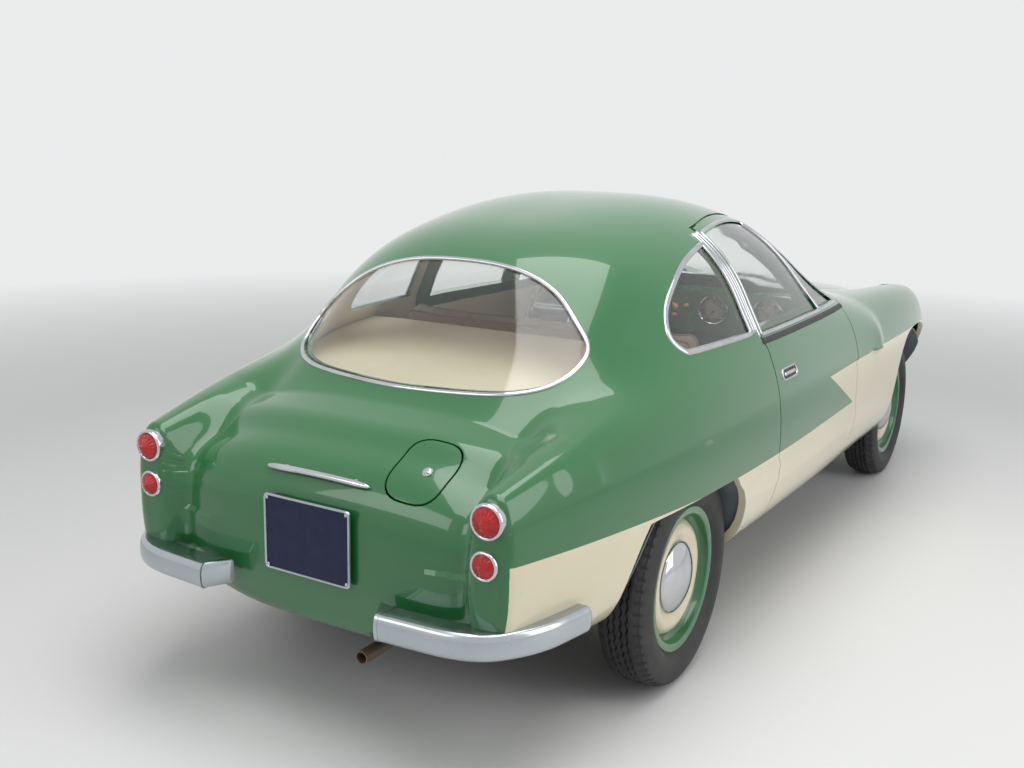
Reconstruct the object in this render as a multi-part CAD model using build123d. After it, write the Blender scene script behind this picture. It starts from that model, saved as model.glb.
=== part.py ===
from build123d import *
import os
from math import cos, sin, pi, radians, tan, hypot
import numpy as np

# Two-door sports coupe, millimetres. The car faces -Y, its left side is +X and +Z is up.
# The origin is on the ground, midway along and across the car.

# ---------------------------------------------------------------- driving sizes
HALF_LENGTH = 2010.0
WHEELBASE = 2420.0
REAR_AXLE_Y = 1110.0
FRONT_AXLE_Y = REAR_AXLE_Y - WHEELBASE
REAR_TRACK = 1200.0
FRONT_TRACK = 1160.0
TYRE_RADIUS = 304.0
TYRE_WIDTH = 148.0
RIM_RADIUS = 190.0
RIM_WIDTH = 116.0
DRUM_RADIUS = 112.0
STUB_RADIUS = 15.0
AXLE_Z = TYRE_RADIUS

# shell, doors and glass
BODY_WALL = 18.0
DOOR_THICKNESS = 48.0
CARD_THICKNESS = 4.0
SILL_Z = 288.0
BELT_Z = 905.0
SHUT_GAP = 5.0
SEAT_GAP = 0.3
GLASS = 5.0
GLASS_DEPTH = 4.0
DOOR_FRONT_Y = -304.0
DOOR_REAR_Y = 565.0
DOOR_HINGE_DEPTH = -1.0
DOOR_HINGE_Z = (470.0, 680.0)
DOOR_ROOM_AT_TOP = 12.0
DOOR_INNER_X = 600.0
WINDOW_FRAME = 20.0
PILLAR = 30.0
SCREEN_PILLAR = 42.0
BONNET_FRONT_Y = -1790.0
BONNET_REAR_Y = -680.0
BONNET_HALF_WIDTH = 390.0
BONNET_HINGE_X = 170.0
FLAP_CENTRE = (-262.0, 1800.0)
FLAP_SIZE = (144.0, 190.0)
REAR_ARCH_RADIUS = 355.0
REAR_ARCH_TOP_Z = 553.0
FRONT_ARCH_HALF_WIDTH = 390.0
FRONT_ARCH_TOP_Z = 700.0
BELLY_FRONT_Y = -1650.0
BELLY_REAR_Y = 1740.0
BELLY_RIM = 75.0
BELLY_TOP_Z = 470.0
TAIL_Y = 1905.0
WING_END_Y = 1932.0
NOSE_Y = -1950.0

# floor and cabin
FLOOR_TOP_Z = 304.0
FLOOR_PLATE = 8.0
BOOT_FLOOR_Z = 455.0
KICK_UP_Y = 765.0
FIREWALL_Y = -650.0
TUNNEL = 110.0
TUNNEL_Z = 432.0
RAIL_X = 285.0
RAIL_WIDTH = 50.0
RAIL_HEIGHT = 70.0
RAIL_Z = 330.0
RAIL_FRONT_Y = -1700.0
ARCH_PLATE = 5.0
FRONT_HOUSE_RADIUS = 370.0
FRONT_HOUSE_X = 340.0
REAR_HOUSE_RADIUS = 330.0
REAR_HOUSE_X = 500.0
SHELF_Z = 885.0
SHELF_FRONT_Y = 860.0
DASH_FACE_Y = -300.0
DASH_LOW_Z = 735.0
DASH_TOP_Z = 905.0
DASH_HALF_WIDTH = 500.0
DIAL_X = (-160.0, -380.0)
DIAL_Z = 830.0
DIAL_RADIUS = 62.0
KNOBS = [(0.0, 850.0), (0.0, 810.0), (-45.0, 850.0), (60.0, 830.0)]
SEAT_HALF = 540.0
SEAT_FRONT_Y = 130.0
SEAT_BACK_Y = 610.0
SEAT_FRAME_Z = 450.0
SEAT_TOP_Z = 590.0
SEAT_BACK_HEIGHT = 470.0
SEAT_LEAN = 14.0
STEERING_CENTRE = (310.0, -20.0, 830.0)
STEERING_RADIUS = 195.0
COLUMN_TILT = 33.0

# running gear and outside fittings
KINGPIN_X = 488.0
KINGPIN_RADIUS = 11.0
LOW_ARM_Z = 200.0
HIGH_ARM_Z = 386.0
SPRING_X = 420.0
SPRING_FRONT_Y = 815.0
SPRING_REAR_Y = 1520.0
SPRING_END_Z = 405.0
ENGINE_FRONT_Y = -1640.0
ENGINE_REAR_Y = -1000.0
EXHAUST_X = -130.0
EXHAUST_Z = 235.0
EXHAUST_END_Y = 1875.0
BUMPER_Z = 400.0
BUMPER_HEIGHT = 66.0
BUMPER_THICK = 32.0
BUMPER_INNER_X = 274.0
BRACKET_X = 400.0
# how each bumper runs in plan: where its face ends, then two places beside the wing
BUMPER_PLAN = {1: (520.0, 1850.0, 1690.0), -1: (470.0, 1800.0, 1700.0)}
PLATE_Z = 529.0
PLATE_Y = 1918.0
HANDLE_Z = 679.0
HANDLE_LENGTH = 325.0
GRILLE_Z = 500.0
GRILLE_SIZE = (560.0, 170.0)
LAMP_DEPTH = 80.0
# each lamp on the left: x, z, radius, and +1 at the tail or -1 at the nose
LAMPS = [(524.0, 684.0, 40.0, 1), (520.0, 582.0, 33.0, 1), (535.0, 655.0, 88.0, -1)]


# ---------------------------------------------------------------- body curves along the car
def curve(*stations):
    """A smooth line through (y, value) stations: a natural cubic, straight beyond both ends."""
    place = np.array([s[0] for s in stations], float)
    value = np.array([s[1] for s in stations], float)
    gap = np.diff(place)
    count = len(place)
    system = np.eye(count)
    pull = np.zeros(count)
    for i in range(1, count - 1):
        system[i, i - 1:i + 2] = gap[i - 1], 2 * (gap[i - 1] + gap[i]), gap[i]
        pull[i] = 3 * ((value[i + 1] - value[i]) / gap[i] - (value[i] - value[i - 1]) / gap[i - 1])
    bend = np.linalg.solve(system, pull)
    slope = np.diff(value) / gap - gap * (2 * bend[:-1] + bend[1:]) / 3
    twist = np.diff(bend) / (3 * gap)

    def at(y):
        y = np.asarray(y, float)
        i = np.clip(np.searchsorted(place, y) - 1, 0, count - 2)
        reach = y - place[i]
        inside = np.clip(reach, 0.0, gap[i])
        here = value[i] + slope[i] * inside + bend[i] * inside ** 2 + twist[i] * inside ** 3
        steepness = slope[i] + 2 * bend[i] * inside + 3 * twist[i] * inside ** 2
        return here + steepness * (reach - inside)
    return at


# the tub between the wings, with the bonnet and the tail deck as its top
TUB_HALF_WIDTH = curve((-2000, 400), (-1600, 490), (-1000, 560), (-200, 590), (600, 595),
                       (1000, 590), (1300, 560), (1600, 520), (1930, 485))
BONNET_Z = curve((-2000, 760), (-1700, 800), (-1300, 845), (-900, 885), (-550, 930), (0, 960))
DECK_Z = curve((1000, 1000), (1300, 930), (1500, 855), (1700, 775), (1850, 705), (1950, 640))
# the cabin bubble
ROOF_Z = curve((-620, 800), (-400, 970), (-200, 1120), (0, 1235), (200, 1290), (450, 1312),
               (700, 1300), (950, 1262), (1200, 1180), (1350, 1070), (1450, 960), (1550, 830))
CABIN_HALF_WIDTH = curve((-600, 600), (-200, 635), (200, 650), (600, 648), (900, 620),
                         (1200, 560), (1450, 470), (1700, 360))
# the wing pontoons, which run the whole length outside the tub
WING_OUTER_X = curve((-2000, 585), (-1800, 660), (-1550, 712), (-1200, 735), (-600, 735), (0, 735), (500, 732),
                     (900, 718), (1200, 698), (1500, 662), (1750, 620), (1930, 580))
WING_INNER_X = curve((-2000, 400), (-1600, 420), (-1200, 400), (-600, 300), (0, 250), (800, 250),
                     (1200, 330), (1500, 400), (1750, 445), (1930, 468))
WING_TOP_Z = curve((-2000, 700), (-1850, 775), (-1600, 835), (-1300, 858), (-900, 875),
                   (-400, 900), (200, 910), (700, 905), (1100, 885), (1400, 850), (1700, 790),
                   (1930, 735))
WING_BOTTOM_Z = curve((-2000, 360), (-1700, 310), (-1300, 275), (1200, 275), (1600, 300),
                      (1930, 360))
VALLEY_BLEND = curve((-2000, 50), (-1400, 60), (-800, 90), (800, 100), (1200, 90), (1500, 60),
                     (1750, 50), (1950, 45))
TUB_POWER = 3.2
CABIN_POWER = 2.9
WING_POWER = 2.6
TUB_MID_Z = 520.0
TUB_BOTTOM_Z = 262.0
CABIN_MID_Z = 700.0
WING_MID_Z = 560.0
TUMBLEHOME = 0.10


def rounded(u, v, power):
    """Reach of a rounded square of unit size: 1 on its edge."""
    return (np.abs(u) ** power + np.abs(v) ** power + 1e-12) ** (1 / power)


def join(a, b, blend):
    """Union of two signed reaches with a soft valley between them."""
    overlap = np.maximum(blend - np.abs(a - b), 0) / blend
    return np.minimum(a, b) - overlap ** 2 * blend / 4


def trim(a, b, blend):
    """Intersection of two signed reaches with a rounded edge between them."""
    return -join(-a, -b, blend)


def body_reach(x, y, z):
    """Signed reach of a point from the painted skin: below zero inside, zero on the skin."""
    x = np.abs(x)
    y = np.clip(y, -2100.0, 2050.0)
    behind = np.clip(y / 1000.0, 0, 1)
    behind = behind ** 2 * (3 - 2 * behind)
    top = BONNET_Z(np.minimum(y, 0)) * (1 - behind) + DECK_Z(np.maximum(y, 1000)) * behind
    wide = TUB_HALF_WIDTH(y)
    tall = np.where(z > TUB_MID_Z, top - TUB_MID_Z, TUB_MID_Z - TUB_BOTTOM_Z)
    tub = (rounded(x / wide, (z - TUB_MID_Z) / tall, TUB_POWER) - 1) * np.minimum(wide, tall)
    wide = CABIN_HALF_WIDTH(y) - TUMBLEHOME * np.clip(z - BELT_Z, 0, 500)
    tall = np.maximum(ROOF_Z(np.clip(y, -800, 1800)) - CABIN_MID_Z, 50)
    cabin = (rounded(x / wide, (z - CABIN_MID_Z) / tall, CABIN_POWER) - 1) * np.minimum(wide, tall)
    cabin = np.where(z < CABIN_MID_Z, np.maximum(x - wide, CABIN_MID_Z - 150 - z), cabin)
    cabin = trim(trim(cabin, -(y + 620), 50), y - 1700, 50)
    outer, inner = WING_OUTER_X(y), WING_INNER_X(y)
    tall = np.where(z > WING_MID_Z, WING_TOP_Z(y) - WING_MID_Z, WING_MID_Z - WING_BOTTOM_Z(y))
    half = (outer - inner) / 2
    wing = (rounded((x - inner - half) / half, (z - WING_MID_Z) / tall, WING_POWER) - 1)
    wing = wing * np.minimum(half, tall)
    tuck = np.clip(450 - z, 0, 1000) ** 2 / 1000
    skin = join(tub, cabin, 90.0)
    skin = trim(skin, y - (TAIL_Y - tuck), 90)
    wing = trim(wing, y - (WING_END_Y - tuck), 30)
    skin = join(skin, wing, VALLEY_BLEND(y))
    nose = -(y - NOSE_Y) + 0.55e-3 * x ** 2 + 0.8e-3 * (z - 620) ** 2
    return trim(skin, nose, 180)


# ---------------------------------------------------------------- skin solids
CORE_FRONT_Y = -1630.0
CORE_REAR_Y = 1760.0
CORE_Z = 600.0
CORE_HALF_WIDTH = 460.0
CORE_END_HALF_WIDTH = 350.0
CORE_WIDENS_OVER = 1000.0
CROSS_RINGS = 22
END_RINGS = 12
HALF_RING_POINTS = 31
FLAT_SHARE = 0.3
LAST_RING_ANGLE = radians(80)


def ring_plan():
    """Each ring's place on the core plate: where along the car, its lean and the plate's half width."""
    cones = np.linspace(LAST_RING_ANGLE, 0, END_RINGS, endpoint=False)
    along = np.linspace(CORE_FRONT_Y, CORE_REAR_Y, CROSS_RINGS)
    starts = np.concatenate([np.full(END_RINGS, CORE_FRONT_Y), along, np.full(END_RINGS, CORE_REAR_Y)])
    leans = np.concatenate([-cones, np.zeros(CROSS_RINGS), cones[::-1]])
    grow = np.clip((starts - CORE_FRONT_Y) / CORE_WIDENS_OVER, 0, 1)
    narrow = np.clip(leans / LAST_RING_ANGLE * 2 - 1, 0, 1) * (CORE_HALF_WIDTH - CORE_END_HALF_WIDTH)
    return starts, leans, CORE_HALF_WIDTH * grow * grow * (3 - 2 * grow) - narrow


def skin_rings(inset):
    """Half rings of points on the skin, from the nose to the tail, moved inwards by inset.

    Rays leave a flat core plate inside the car. Rings of rays stand square to it along the car,
    then lean over like cones to close both ends. Each half ring runs from the top of the car
    down its left side to its belly."""
    starts, leans, widths = ring_plan()
    share = np.linspace(0, 1, HALF_RING_POINTS)
    flat = np.clip(widths / CORE_HALF_WIDTH, 0, 1)[:, None]
    turn = pi * (share * (1 - flat) + np.clip((share - FLAT_SHARE) / (1 - 2 * FLAT_SHARE), 0, 1) * flat)
    start_x = widths[:, None] * np.clip(np.minimum(share, 1 - share) / FLAT_SHARE, 0, 1)
    way_x = np.cos(leans)[:, None] * np.sin(turn)
    way_z = np.cos(leans)[:, None] * np.cos(turn)
    way_y = np.sin(leans)[:, None] * np.ones_like(turn)
    start_y = starts[:, None] * np.ones_like(turn)

    def reach_at(r):
        return body_reach(start_x + way_x * r, start_y + way_y * r, CORE_Z + way_z * r)
    near, far = np.full_like(way_x, 40.0), np.full_like(way_x, 1400.0)
    for _ in range(40):
        middle = (near + far) / 2
        inside = reach_at(middle) < 0
        near, far = np.where(inside, middle, near), np.where(inside, far, middle)
    steepness = reach_at(near + 0.5) - reach_at(near - 0.5)
    near = near - inset / np.clip(steepness, 0.4, 1.0)
    x, y, z = start_x + way_x * near, start_y + way_y * near, CORE_Z + way_z * near
    x[:, 0] = x[:, -1] = 0
    for end in (0, -1):
        y[end] = y[end].mean()
    return x, y, z


def skin_solid(inset=0.0):
    """The whole body as one closed solid, smaller all round by inset."""
    spots = [i / (HALF_RING_POINTS - 1) for i in range(HALF_RING_POINTS)]
    faces = []
    for side in (1, -1):
        rings = [[Vector(side * px, py, pz) for px, py, pz in zip(*ring)]
                 for ring in zip(*skin_rings(inset))]
        wires = [Wire(Edge.make_spline(ring, parameters=spots)) for ring in rings]
        faces += Shell.make_loft(wires).faces()
    ends = [[Edge.make_spline([Vector(side * px, py, pz) for px, py, pz in zip(x[end], y[end], z[end])],
                              parameters=spots) for side in (1, -1)]
            for x, y, z in [skin_rings(inset)] for end in (0, -1)]
    faces += [Face(Wire(pair)) for pair in ends]
    return Solid(Shell(faces))


def skin_y(x, z, side=1):
    """Where the skin lies at the tail (side 1) or the nose (side -1), across at x and up at z."""
    inside, outside = 0.0, side * 2200.0
    for _ in range(40):
        middle = (inside + outside) / 2
        if body_reach(x, middle, z) < 0:
            inside = middle
        else:
            outside = middle
    return inside


def skin_x(y, z):
    """Half width of the car at y and z."""
    inside, outside = 0.0, 900.0
    for _ in range(40):
        middle = (inside + outside) / 2
        if body_reach(middle, y, z) < 0:
            inside = middle
        else:
            outside = middle
    return inside


# ---------------------------------------------------------------- plain shapes
def block(x0, x1, y0, y1, z0, z1):
    """A box between two corners."""
    return Pos((x0 + x1) / 2, (y0 + y1) / 2, (z0 + z1) / 2) * Box(x1 - x0, y1 - y0, z1 - z0)


def rod(start, end, radius):
    """A round bar between two points."""
    line = Vector(*end) - Vector(*start)
    return Plane(origin=start, z_dir=line) * extrude(Circle(radius), line.length)


def side_slab(face, near_x, far_x):
    """A face drawn in (y, z) made into a slab between two places across the car."""
    return extrude(Plane.YZ.offset(near_x) * face, far_x - near_x)


def both_sides(solid):
    """A left-hand solid and its mirror image."""
    return [solid, mirror(solid, Plane.YZ)]


def write(name, shape):
    """One STEP file for one sub-part, as a plain list of its solids."""
    solids = shape if isinstance(shape, (list, tuple)) else [shape]
    solids = [s for item in solids for s in item.solids()]
    export_step(solids[0] if len(solids) == 1 else Compound(children=solids), f"parts/{name}.step")


# ---------------------------------------------------------------- outlines
def shifted(points, amount):
    """A chain of (y, z) points moved to its left by amount, as an even border."""
    moved = []
    for i, (y, z) in enumerate(points):
        before, after = points[max(i - 1, 0)], points[min(i + 1, len(points) - 1)]
        run, rise = after[0] - before[0], after[1] - before[1]
        moved.append((y - rise / hypot(run, rise) * amount, z + run / hypot(run, rise) * amount))
    return moved


def below_frame_line(grow):
    """Everything in (y, z) below the upper edge of the door's window frame."""
    line = shifted([(-330, BELT_Z), (-150, 1048), (0, 1184), (225, 1243), (430, 1246),
                    (DOOR_REAR_Y + 47, 1226)], grow)
    back, low = DOOR_REAR_Y + 150, SILL_Z - 80
    rest = Polyline(line[-1], (back, line[-1][1] - 5), (back, low), (line[0][0], low), line[0])
    return make_face(Spline(*line) + rest)


def door_face(grow=0.0, room=0.0):
    """Outline of the whole door in (y, z), larger by grow, with room behind its frame's top."""
    front, rear, low = DOOR_FRONT_Y - grow, DOOR_REAR_Y + grow, SILL_Z - 40
    edges = Polyline((front, low), (front, BELT_Z - 22), (-334 - grow, BELT_Z), (-334 - grow, 1400),
                     (rear + 58 + room, 1400), (rear + 25 + room / 2, BELT_Z + 19), (rear, 870),
                     (rear, low), close=True)
    return below_frame_line(grow) & make_face(edges)


def door_window_face(gap=0.0):
    """Outline of the door's window, smaller by gap."""
    inset = WINDOW_FRAME + gap
    edges = Polyline((-400, BELT_Z - 3 + inset), (DOOR_REAR_Y + 25 - inset, BELT_Z - 3 + inset),
                     (DOOR_REAR_Y + 54 - inset, 1400), (-400, 1400), close=True)
    return below_frame_line(-inset) & make_face(edges)


def vent_bar_face(gap=0.0):
    """The slanting bar between the vent pane and the main pane, wider by gap on both sides."""
    return make_face(Polyline((-38 - gap, BELT_Z), (-22 + gap, BELT_Z), (160 + gap, 1260),
                              (144 - gap, 1260), close=True))


def quarter_window_face(gap=0.0):
    """Outline of the fixed quarter window behind the door, smaller by gap."""
    front = DOOR_REAR_Y + 52 + DOOR_ROOM_AT_TOP + PILLAR
    line = shifted([(front, 1186), (760, 1165), (860, 1134), (972, 1080), (1056, 1010),
                    (1072, 960), (1034, BELT_Z + 20)], -gap)
    line[0] = (front + gap, line[0][1])
    foot = (front - 14 + gap, BELT_Z + 22 + gap)
    return make_face(Spline(*line) + Polyline(line[-1], foot, line[0]))


def pane_face(points, grow):
    """A pane seen along the car, from its right-hand points, larger by grow."""
    points = [(0, points[0][1] + grow)] + shifted(points, grow)[1:-1] + [(0, points[-1][1] - grow)]
    right = Spline(*points, tangents=[(1, 0), (-1, 0)])
    return make_face(right + mirror(right, Plane.YZ))


def rear_window_face(gap=0.0):
    return pane_face([(0, 1150), (190, 1135), (320, 1086), (408, 1010), (446, 946), (425, 900),
                      (365, 873), (235, 859), (0, 851)], -gap)


def windscreen_face(gap=0.0):
    return pane_face([(0, 1196), (250, 1190), (430, 1130), (510, 1020), (535, 960), (500, 935),
                      (260, 947), (0, 952)], -gap)


def arch_face(front):
    """A wheel arch: the rear one is a circle cut flat along the colour line."""
    if front:
        points = []
        for step in range(13):
            turn = pi * step / 12
            across = abs(cos(turn)) ** (2 / 2.6) * (1 if cos(turn) > 0 else -1)
            up = abs(sin(turn)) ** (2 / 2.6)
            points.append((FRONT_AXLE_Y + FRONT_ARCH_HALF_WIDTH * across,
                           300 + (FRONT_ARCH_TOP_Z - 300) * up))
        foot = Polyline(points[-1], (points[-1][0], 200), (points[0][0], 200), points[0])
        return make_face(Spline(*points) + foot)
    circle = Pos(REAR_AXLE_Y + 35, 300) * Circle(REAR_ARCH_RADIUS)
    below = Pos(REAR_AXLE_Y + 35, REAR_ARCH_TOP_Z - 300) * Rectangle(900, 600)
    foot = Pos(REAR_AXLE_Y + 35, 250) * Rectangle(2 * REAR_ARCH_RADIUS, 100)
    return (circle & below) + foot


# ---------------------------------------------------------------- the painted shell
def flap_plane():
    """The plane of the fuel flap, square to the tail deck."""
    x, y = FLAP_CENTRE
    return Plane(origin=(x, y, skin_z(x, y)), x_dir=(1, 0, 0), z_dir=(0, 0.55, 0.83))


def flap_edge_rise(y):
    """How far the skin lies above the flap's plane at y along the flap."""
    low, high = -60.0, 60.0
    for _ in range(30):
        middle = (low + high) / 2
        spot = flap_plane().from_local_coords(Vector(0, y, middle))
        low, high = (middle, high) if body_reach(spot.X, spot.Y, spot.Z) < 0 else (low, middle)
    return low


def bonnet_cutter(gap):
    """A tall prism over the bonnet, larger all round by gap."""
    half = BONNET_HALF_WIDTH
    face = make_face(Polyline((-half, BONNET_REAR_Y), (half, BONNET_REAR_Y),
                              (half - 60, BONNET_FRONT_Y), (60 - half, BONNET_FRONT_Y), close=True))
    face = offset(fillet(face.vertices(), 45), gap)
    return Pos(0, 0, 640) * extrude(face, 400)


def flap_cutter(gap):
    """A short prism over the fuel flap, larger all round by gap."""
    face = RectangleRounded(FLAP_SIZE[0] + 2 * gap, FLAP_SIZE[1] + 2 * gap, 60)
    return flap_plane() * Pos(0, 0, -60) * extrude(face, 120)


def windscreen_cutter(gap):
    """A prism through the windscreen that stops short of the screen pillars."""
    cutter = Pos(0, -60, 0) * extrude(Plane.XZ * windscreen_face(gap), 900)
    for pillar in both_sides(side_slab(below_frame_line(SCREEN_PILLAR + gap), 250, 900)):
        cutter -= pillar
    return cutter


def grille_cutter(gap):
    """The mouth in the nose: a wide oval prism along the car."""
    face = SlotOverall(GRILLE_SIZE[0] - 2 * gap, GRILLE_SIZE[1] - 2 * gap)
    return Pos(0, -1600, GRILLE_Z) * extrude(Plane.XZ * face, 500)


def lamp_hole(x, z, radius, side):
    """A round hole for a lamp, along the car through the nose or the tail."""
    start = skin_y(x, z, side) - side * 120
    return rod((x, start, z), (x, start + side * 320, z), radius + SEAT_GAP)


def belly_room():
    """The open underside between the flanks, as far as the nose and tail pans."""
    places = [BELLY_FRONT_Y, -1300, -600, 500, 1100, 1500, BELLY_REAR_Y]
    right = [(skin_x(y, 400) - BELLY_RIM, y) for y in places]
    left = [(-x, y) for x, y in reversed(right)]
    return Pos(0, 0, 100) * extrude(make_face(Polyline(*right, *left, close=True)), BELLY_TOP_Z - 100)


def painted_shell(skin, hollow):
    """The hollow body with every opening but without its doors, bonnet and flap."""
    shell = (skin - hollow) & block(-1000, 1000, -2500, 2500, SILL_Z, 1500)
    shell -= belly_room()
    cutters = [side_slab(door_face(SHUT_GAP, DOOR_ROOM_AT_TOP), 330, 900),
               side_slab(quarter_window_face(), 330, 900),
               side_slab(arch_face(True), 420, 900), side_slab(arch_face(False), 420, 900)]
    cutters += [lamp_hole(*lamp) for lamp in LAMPS]
    for cutter in cutters:
        for one in both_sides(cutter):
            shell -= one
    shell -= Pos(0, 2200, 0) * extrude(Plane.XZ * rear_window_face(), 1300)
    shell -= windscreen_cutter(0)
    shell -= grille_cutter(0)
    shell -= bonnet_cutter(SHUT_GAP)
    return shell - flap_cutter(SHUT_GAP)


def split_shell(shell):
    """Front body ahead of the doors and below the windscreen, and the cabin and tail behind it."""
    ahead = block(-1000, 1000, -2500, DOOR_FRONT_Y - SHUT_GAP, 0, 2000)
    ahead -= block(-1000, 1000, -540, 0, BELT_Z, 2000)
    return shell & ahead, shell - ahead


def door(skin, hollow, deep):
    """The left door as one thick panel with its window frame and vent bar."""
    slab = side_slab(door_face(), 330, 900)
    lower = (skin - deep) & slab & block(DOOR_INNER_X, 900, -600, 900, SILL_Z, BELT_Z)
    frame = (skin - hollow) & slab & block(300, 900, -600, 900, BELT_Z, 1400)
    window = side_slab(door_window_face(), 330, 900) - side_slab(vent_bar_face(), 330, 900)
    return (lower + frame) - window


def trim_card(deep, card):
    """The thin card inside the left door."""
    inside = side_slab(door_face(-12.0), 330, 900) & block(0, 900, -600, 900, SILL_Z + 56, BELT_Z - 24)
    room = side_slab(door_face(SHUT_GAP), 330, 900) & block(0, 900, -600, 900, SILL_Z, BELT_Z)
    return (deep & inside) - (card & room)


# ---------------------------------------------------------------- hinges
def door_hinge_at():
    """The vertical line the left door turns about: (x, y)."""
    return skin_x(DOOR_FRONT_Y, 600) - DOOR_HINGE_DEPTH, DOOR_FRONT_Y - SHUT_GAP / 2


def door_hinges(part):
    """The pins on the wing, the barrels on the door, or the room that the barrels turn in."""
    x, y = door_hinge_at()
    pieces = []
    for z in DOOR_HINGE_Z:
        if part == "pin":
            pin = rod((x, y, z - 26), (x, y, z + 26), 4)
            ears = [block(x - 14, x + 4, y - 12, y + 2.2, z + low, z + low + 11) for low in (-26, 15)]
            pieces.append(pin + ears)
        if part == "barrel":
            ear = block(x - 14, x + 4, y - 3, y + 12, z - 14, z + 14)
            pieces.append(rod((x, y, z - 14), (x, y, z + 14), 7) + ear)
        if part == "bore":
            pieces.append(rod((x, y, z - 27), (x, y, z + 27), 4 + SEAT_GAP))
        if part == "room":
            pieces.append(rod((x, y, z - 15), (x, y, z + 15), 18))
        if part == "ear room":
            pieces.append(block(x - 30, x + 30, y - 1, y + 12, z - 27, z - 14.4))
            pieces.append(block(x - 30, x + 30, y - 1, y + 12, z + 14.4, z + 27))
    return pieces


def skin_z(x, y):
    """Height of the body's top at x and y."""
    low, high = 500.0, 1500.0
    for _ in range(40):
        middle = (low + high) / 2
        low, high = (middle, high) if body_reach(x, y, middle) < 0 else (low, middle)
    return low


def bonnet_hinge_at():
    """The line across the car that the bonnet turns about: (y, z)."""
    return BONNET_REAR_Y + SHUT_GAP / 2, skin_z(0, BONNET_REAR_Y) + 1.0


def bonnet_hinges(part):
    """Two small barrels on the bonnet's rear edge, their pins, or the room they turn in."""
    y, z = bonnet_hinge_at()
    pieces = []
    for x in (-BONNET_HINGE_X, BONNET_HINGE_X):
        if part == "pin":
            ears = [block(x + at, x + at + 8, y - 2, y + 14, z - 16, z + 3) for at in (-28, 20)]
            pieces.append(rod((x - 28, y, z), (x + 28, y, z), 3) + ears)
        if part == "barrel":
            ear = block(x - 18, x + 18, y - 14, y + 2, z - 16, z)
            pieces.append(rod((x - 18, y, z), (x + 18, y, z), 6) + ear)
        if part == "bore":
            pieces.append(rod((x - 29, y, z), (x + 29, y, z), 3 + SEAT_GAP))
        if part == "room":
            pieces.append(rod((x - 18.5, y, z), (x + 18.5, y, z), 18))
        if part == "ear room":
            pieces.append(block(x - 29, x - 18.4, y - 12, y + 30, z - 40, z + 10))
            pieces.append(block(x + 18.4, x + 29, y - 12, y + 30, z - 40, z + 10))
    return pieces


def flap_hinge(part):
    """One small barrel on the flap's upper edge, its pin, or the room it turns in."""
    y = -FLAP_SIZE[1] / 2 - SHUT_GAP / 2
    x0, x1 = -16, 16
    if part == "pin":
        ears = [block(at, at + 6, y - 10, y + 2, -14, 3) for at in (-24, 18)]
        shape = rod((-24, y, 0), (24, y, 0), 2.5) + ears
    if part == "barrel":
        shape = rod((x0, y, 0), (x1, y, 0), 5) + block(x0, x1, y - 1, y + 12, -12, 0)
    if part == "bore":
        shape = rod((-25, y, 0), (25, y, 0), 2.5 + SEAT_GAP)
    if part == "room":
        shape = rod((x0 - 0.5, y, 0), (x1 + 0.5, y, 0), 15)
    if part == "ear room":
        shape = block(-25, x0 - 0.4, y - 20, y + 10, -30, 10) + block(x1 + 0.4, 25, y - 20, y + 10, -30, 10)
    return [flap_plane() * Pos(0, 0, flap_edge_rise(y)) * shape]


def hinge_pair(fixed, moving, hinges):
    """Give a fixed panel its pins and a moving panel its barrels."""
    for piece in hinges("room"):
        fixed = fixed - piece
    for piece in hinges("pin"):
        fixed = fixed + piece
    for piece in hinges("ear room"):
        moving = moving - piece
    for piece in hinges("barrel"):
        moving = moving + piece
    for piece in hinges("bore"):
        moving = moving - piece
    return fixed, moving


# ---------------------------------------------------------------- floor, walls and arches inside
def wheelhouse(core, axle_y, radius, inner_x):
    """The left wheel's inner arch: a round hood with a flat wall on its inner side."""
    hood = rod((inner_x, axle_y, AXLE_Z), (900, axle_y, AXLE_Z), radius + ARCH_PLATE)
    hood -= rod((inner_x + ARCH_PLATE, axle_y, AXLE_Z), (901, axle_y, AXLE_Z), radius)
    return hood & core & block(inner_x, 900, axle_y - 500, axle_y + 500, SILL_Z, 1200)


def front_wheelhouse(core):
    house = wheelhouse(core, FRONT_AXLE_Y, FRONT_HOUSE_RADIUS, FRONT_HOUSE_X)
    slot = block(FRONT_HOUSE_X - 5, FRONT_HOUSE_X + 20, FRONT_AXLE_Y - 45, FRONT_AXLE_Y + 45, 200, 440)
    return house - slot - side_slab(arch_face(True), 690, 900)


def rear_wheelhouse(core):
    house = wheelhouse(core, REAR_AXLE_Y, REAR_HOUSE_RADIUS, REAR_HOUSE_X)
    return house - block(REAR_HOUSE_X - 5, REAR_HOUSE_X + 20, REAR_AXLE_Y - 45, REAR_AXLE_Y + 45, 200, 360)


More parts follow.
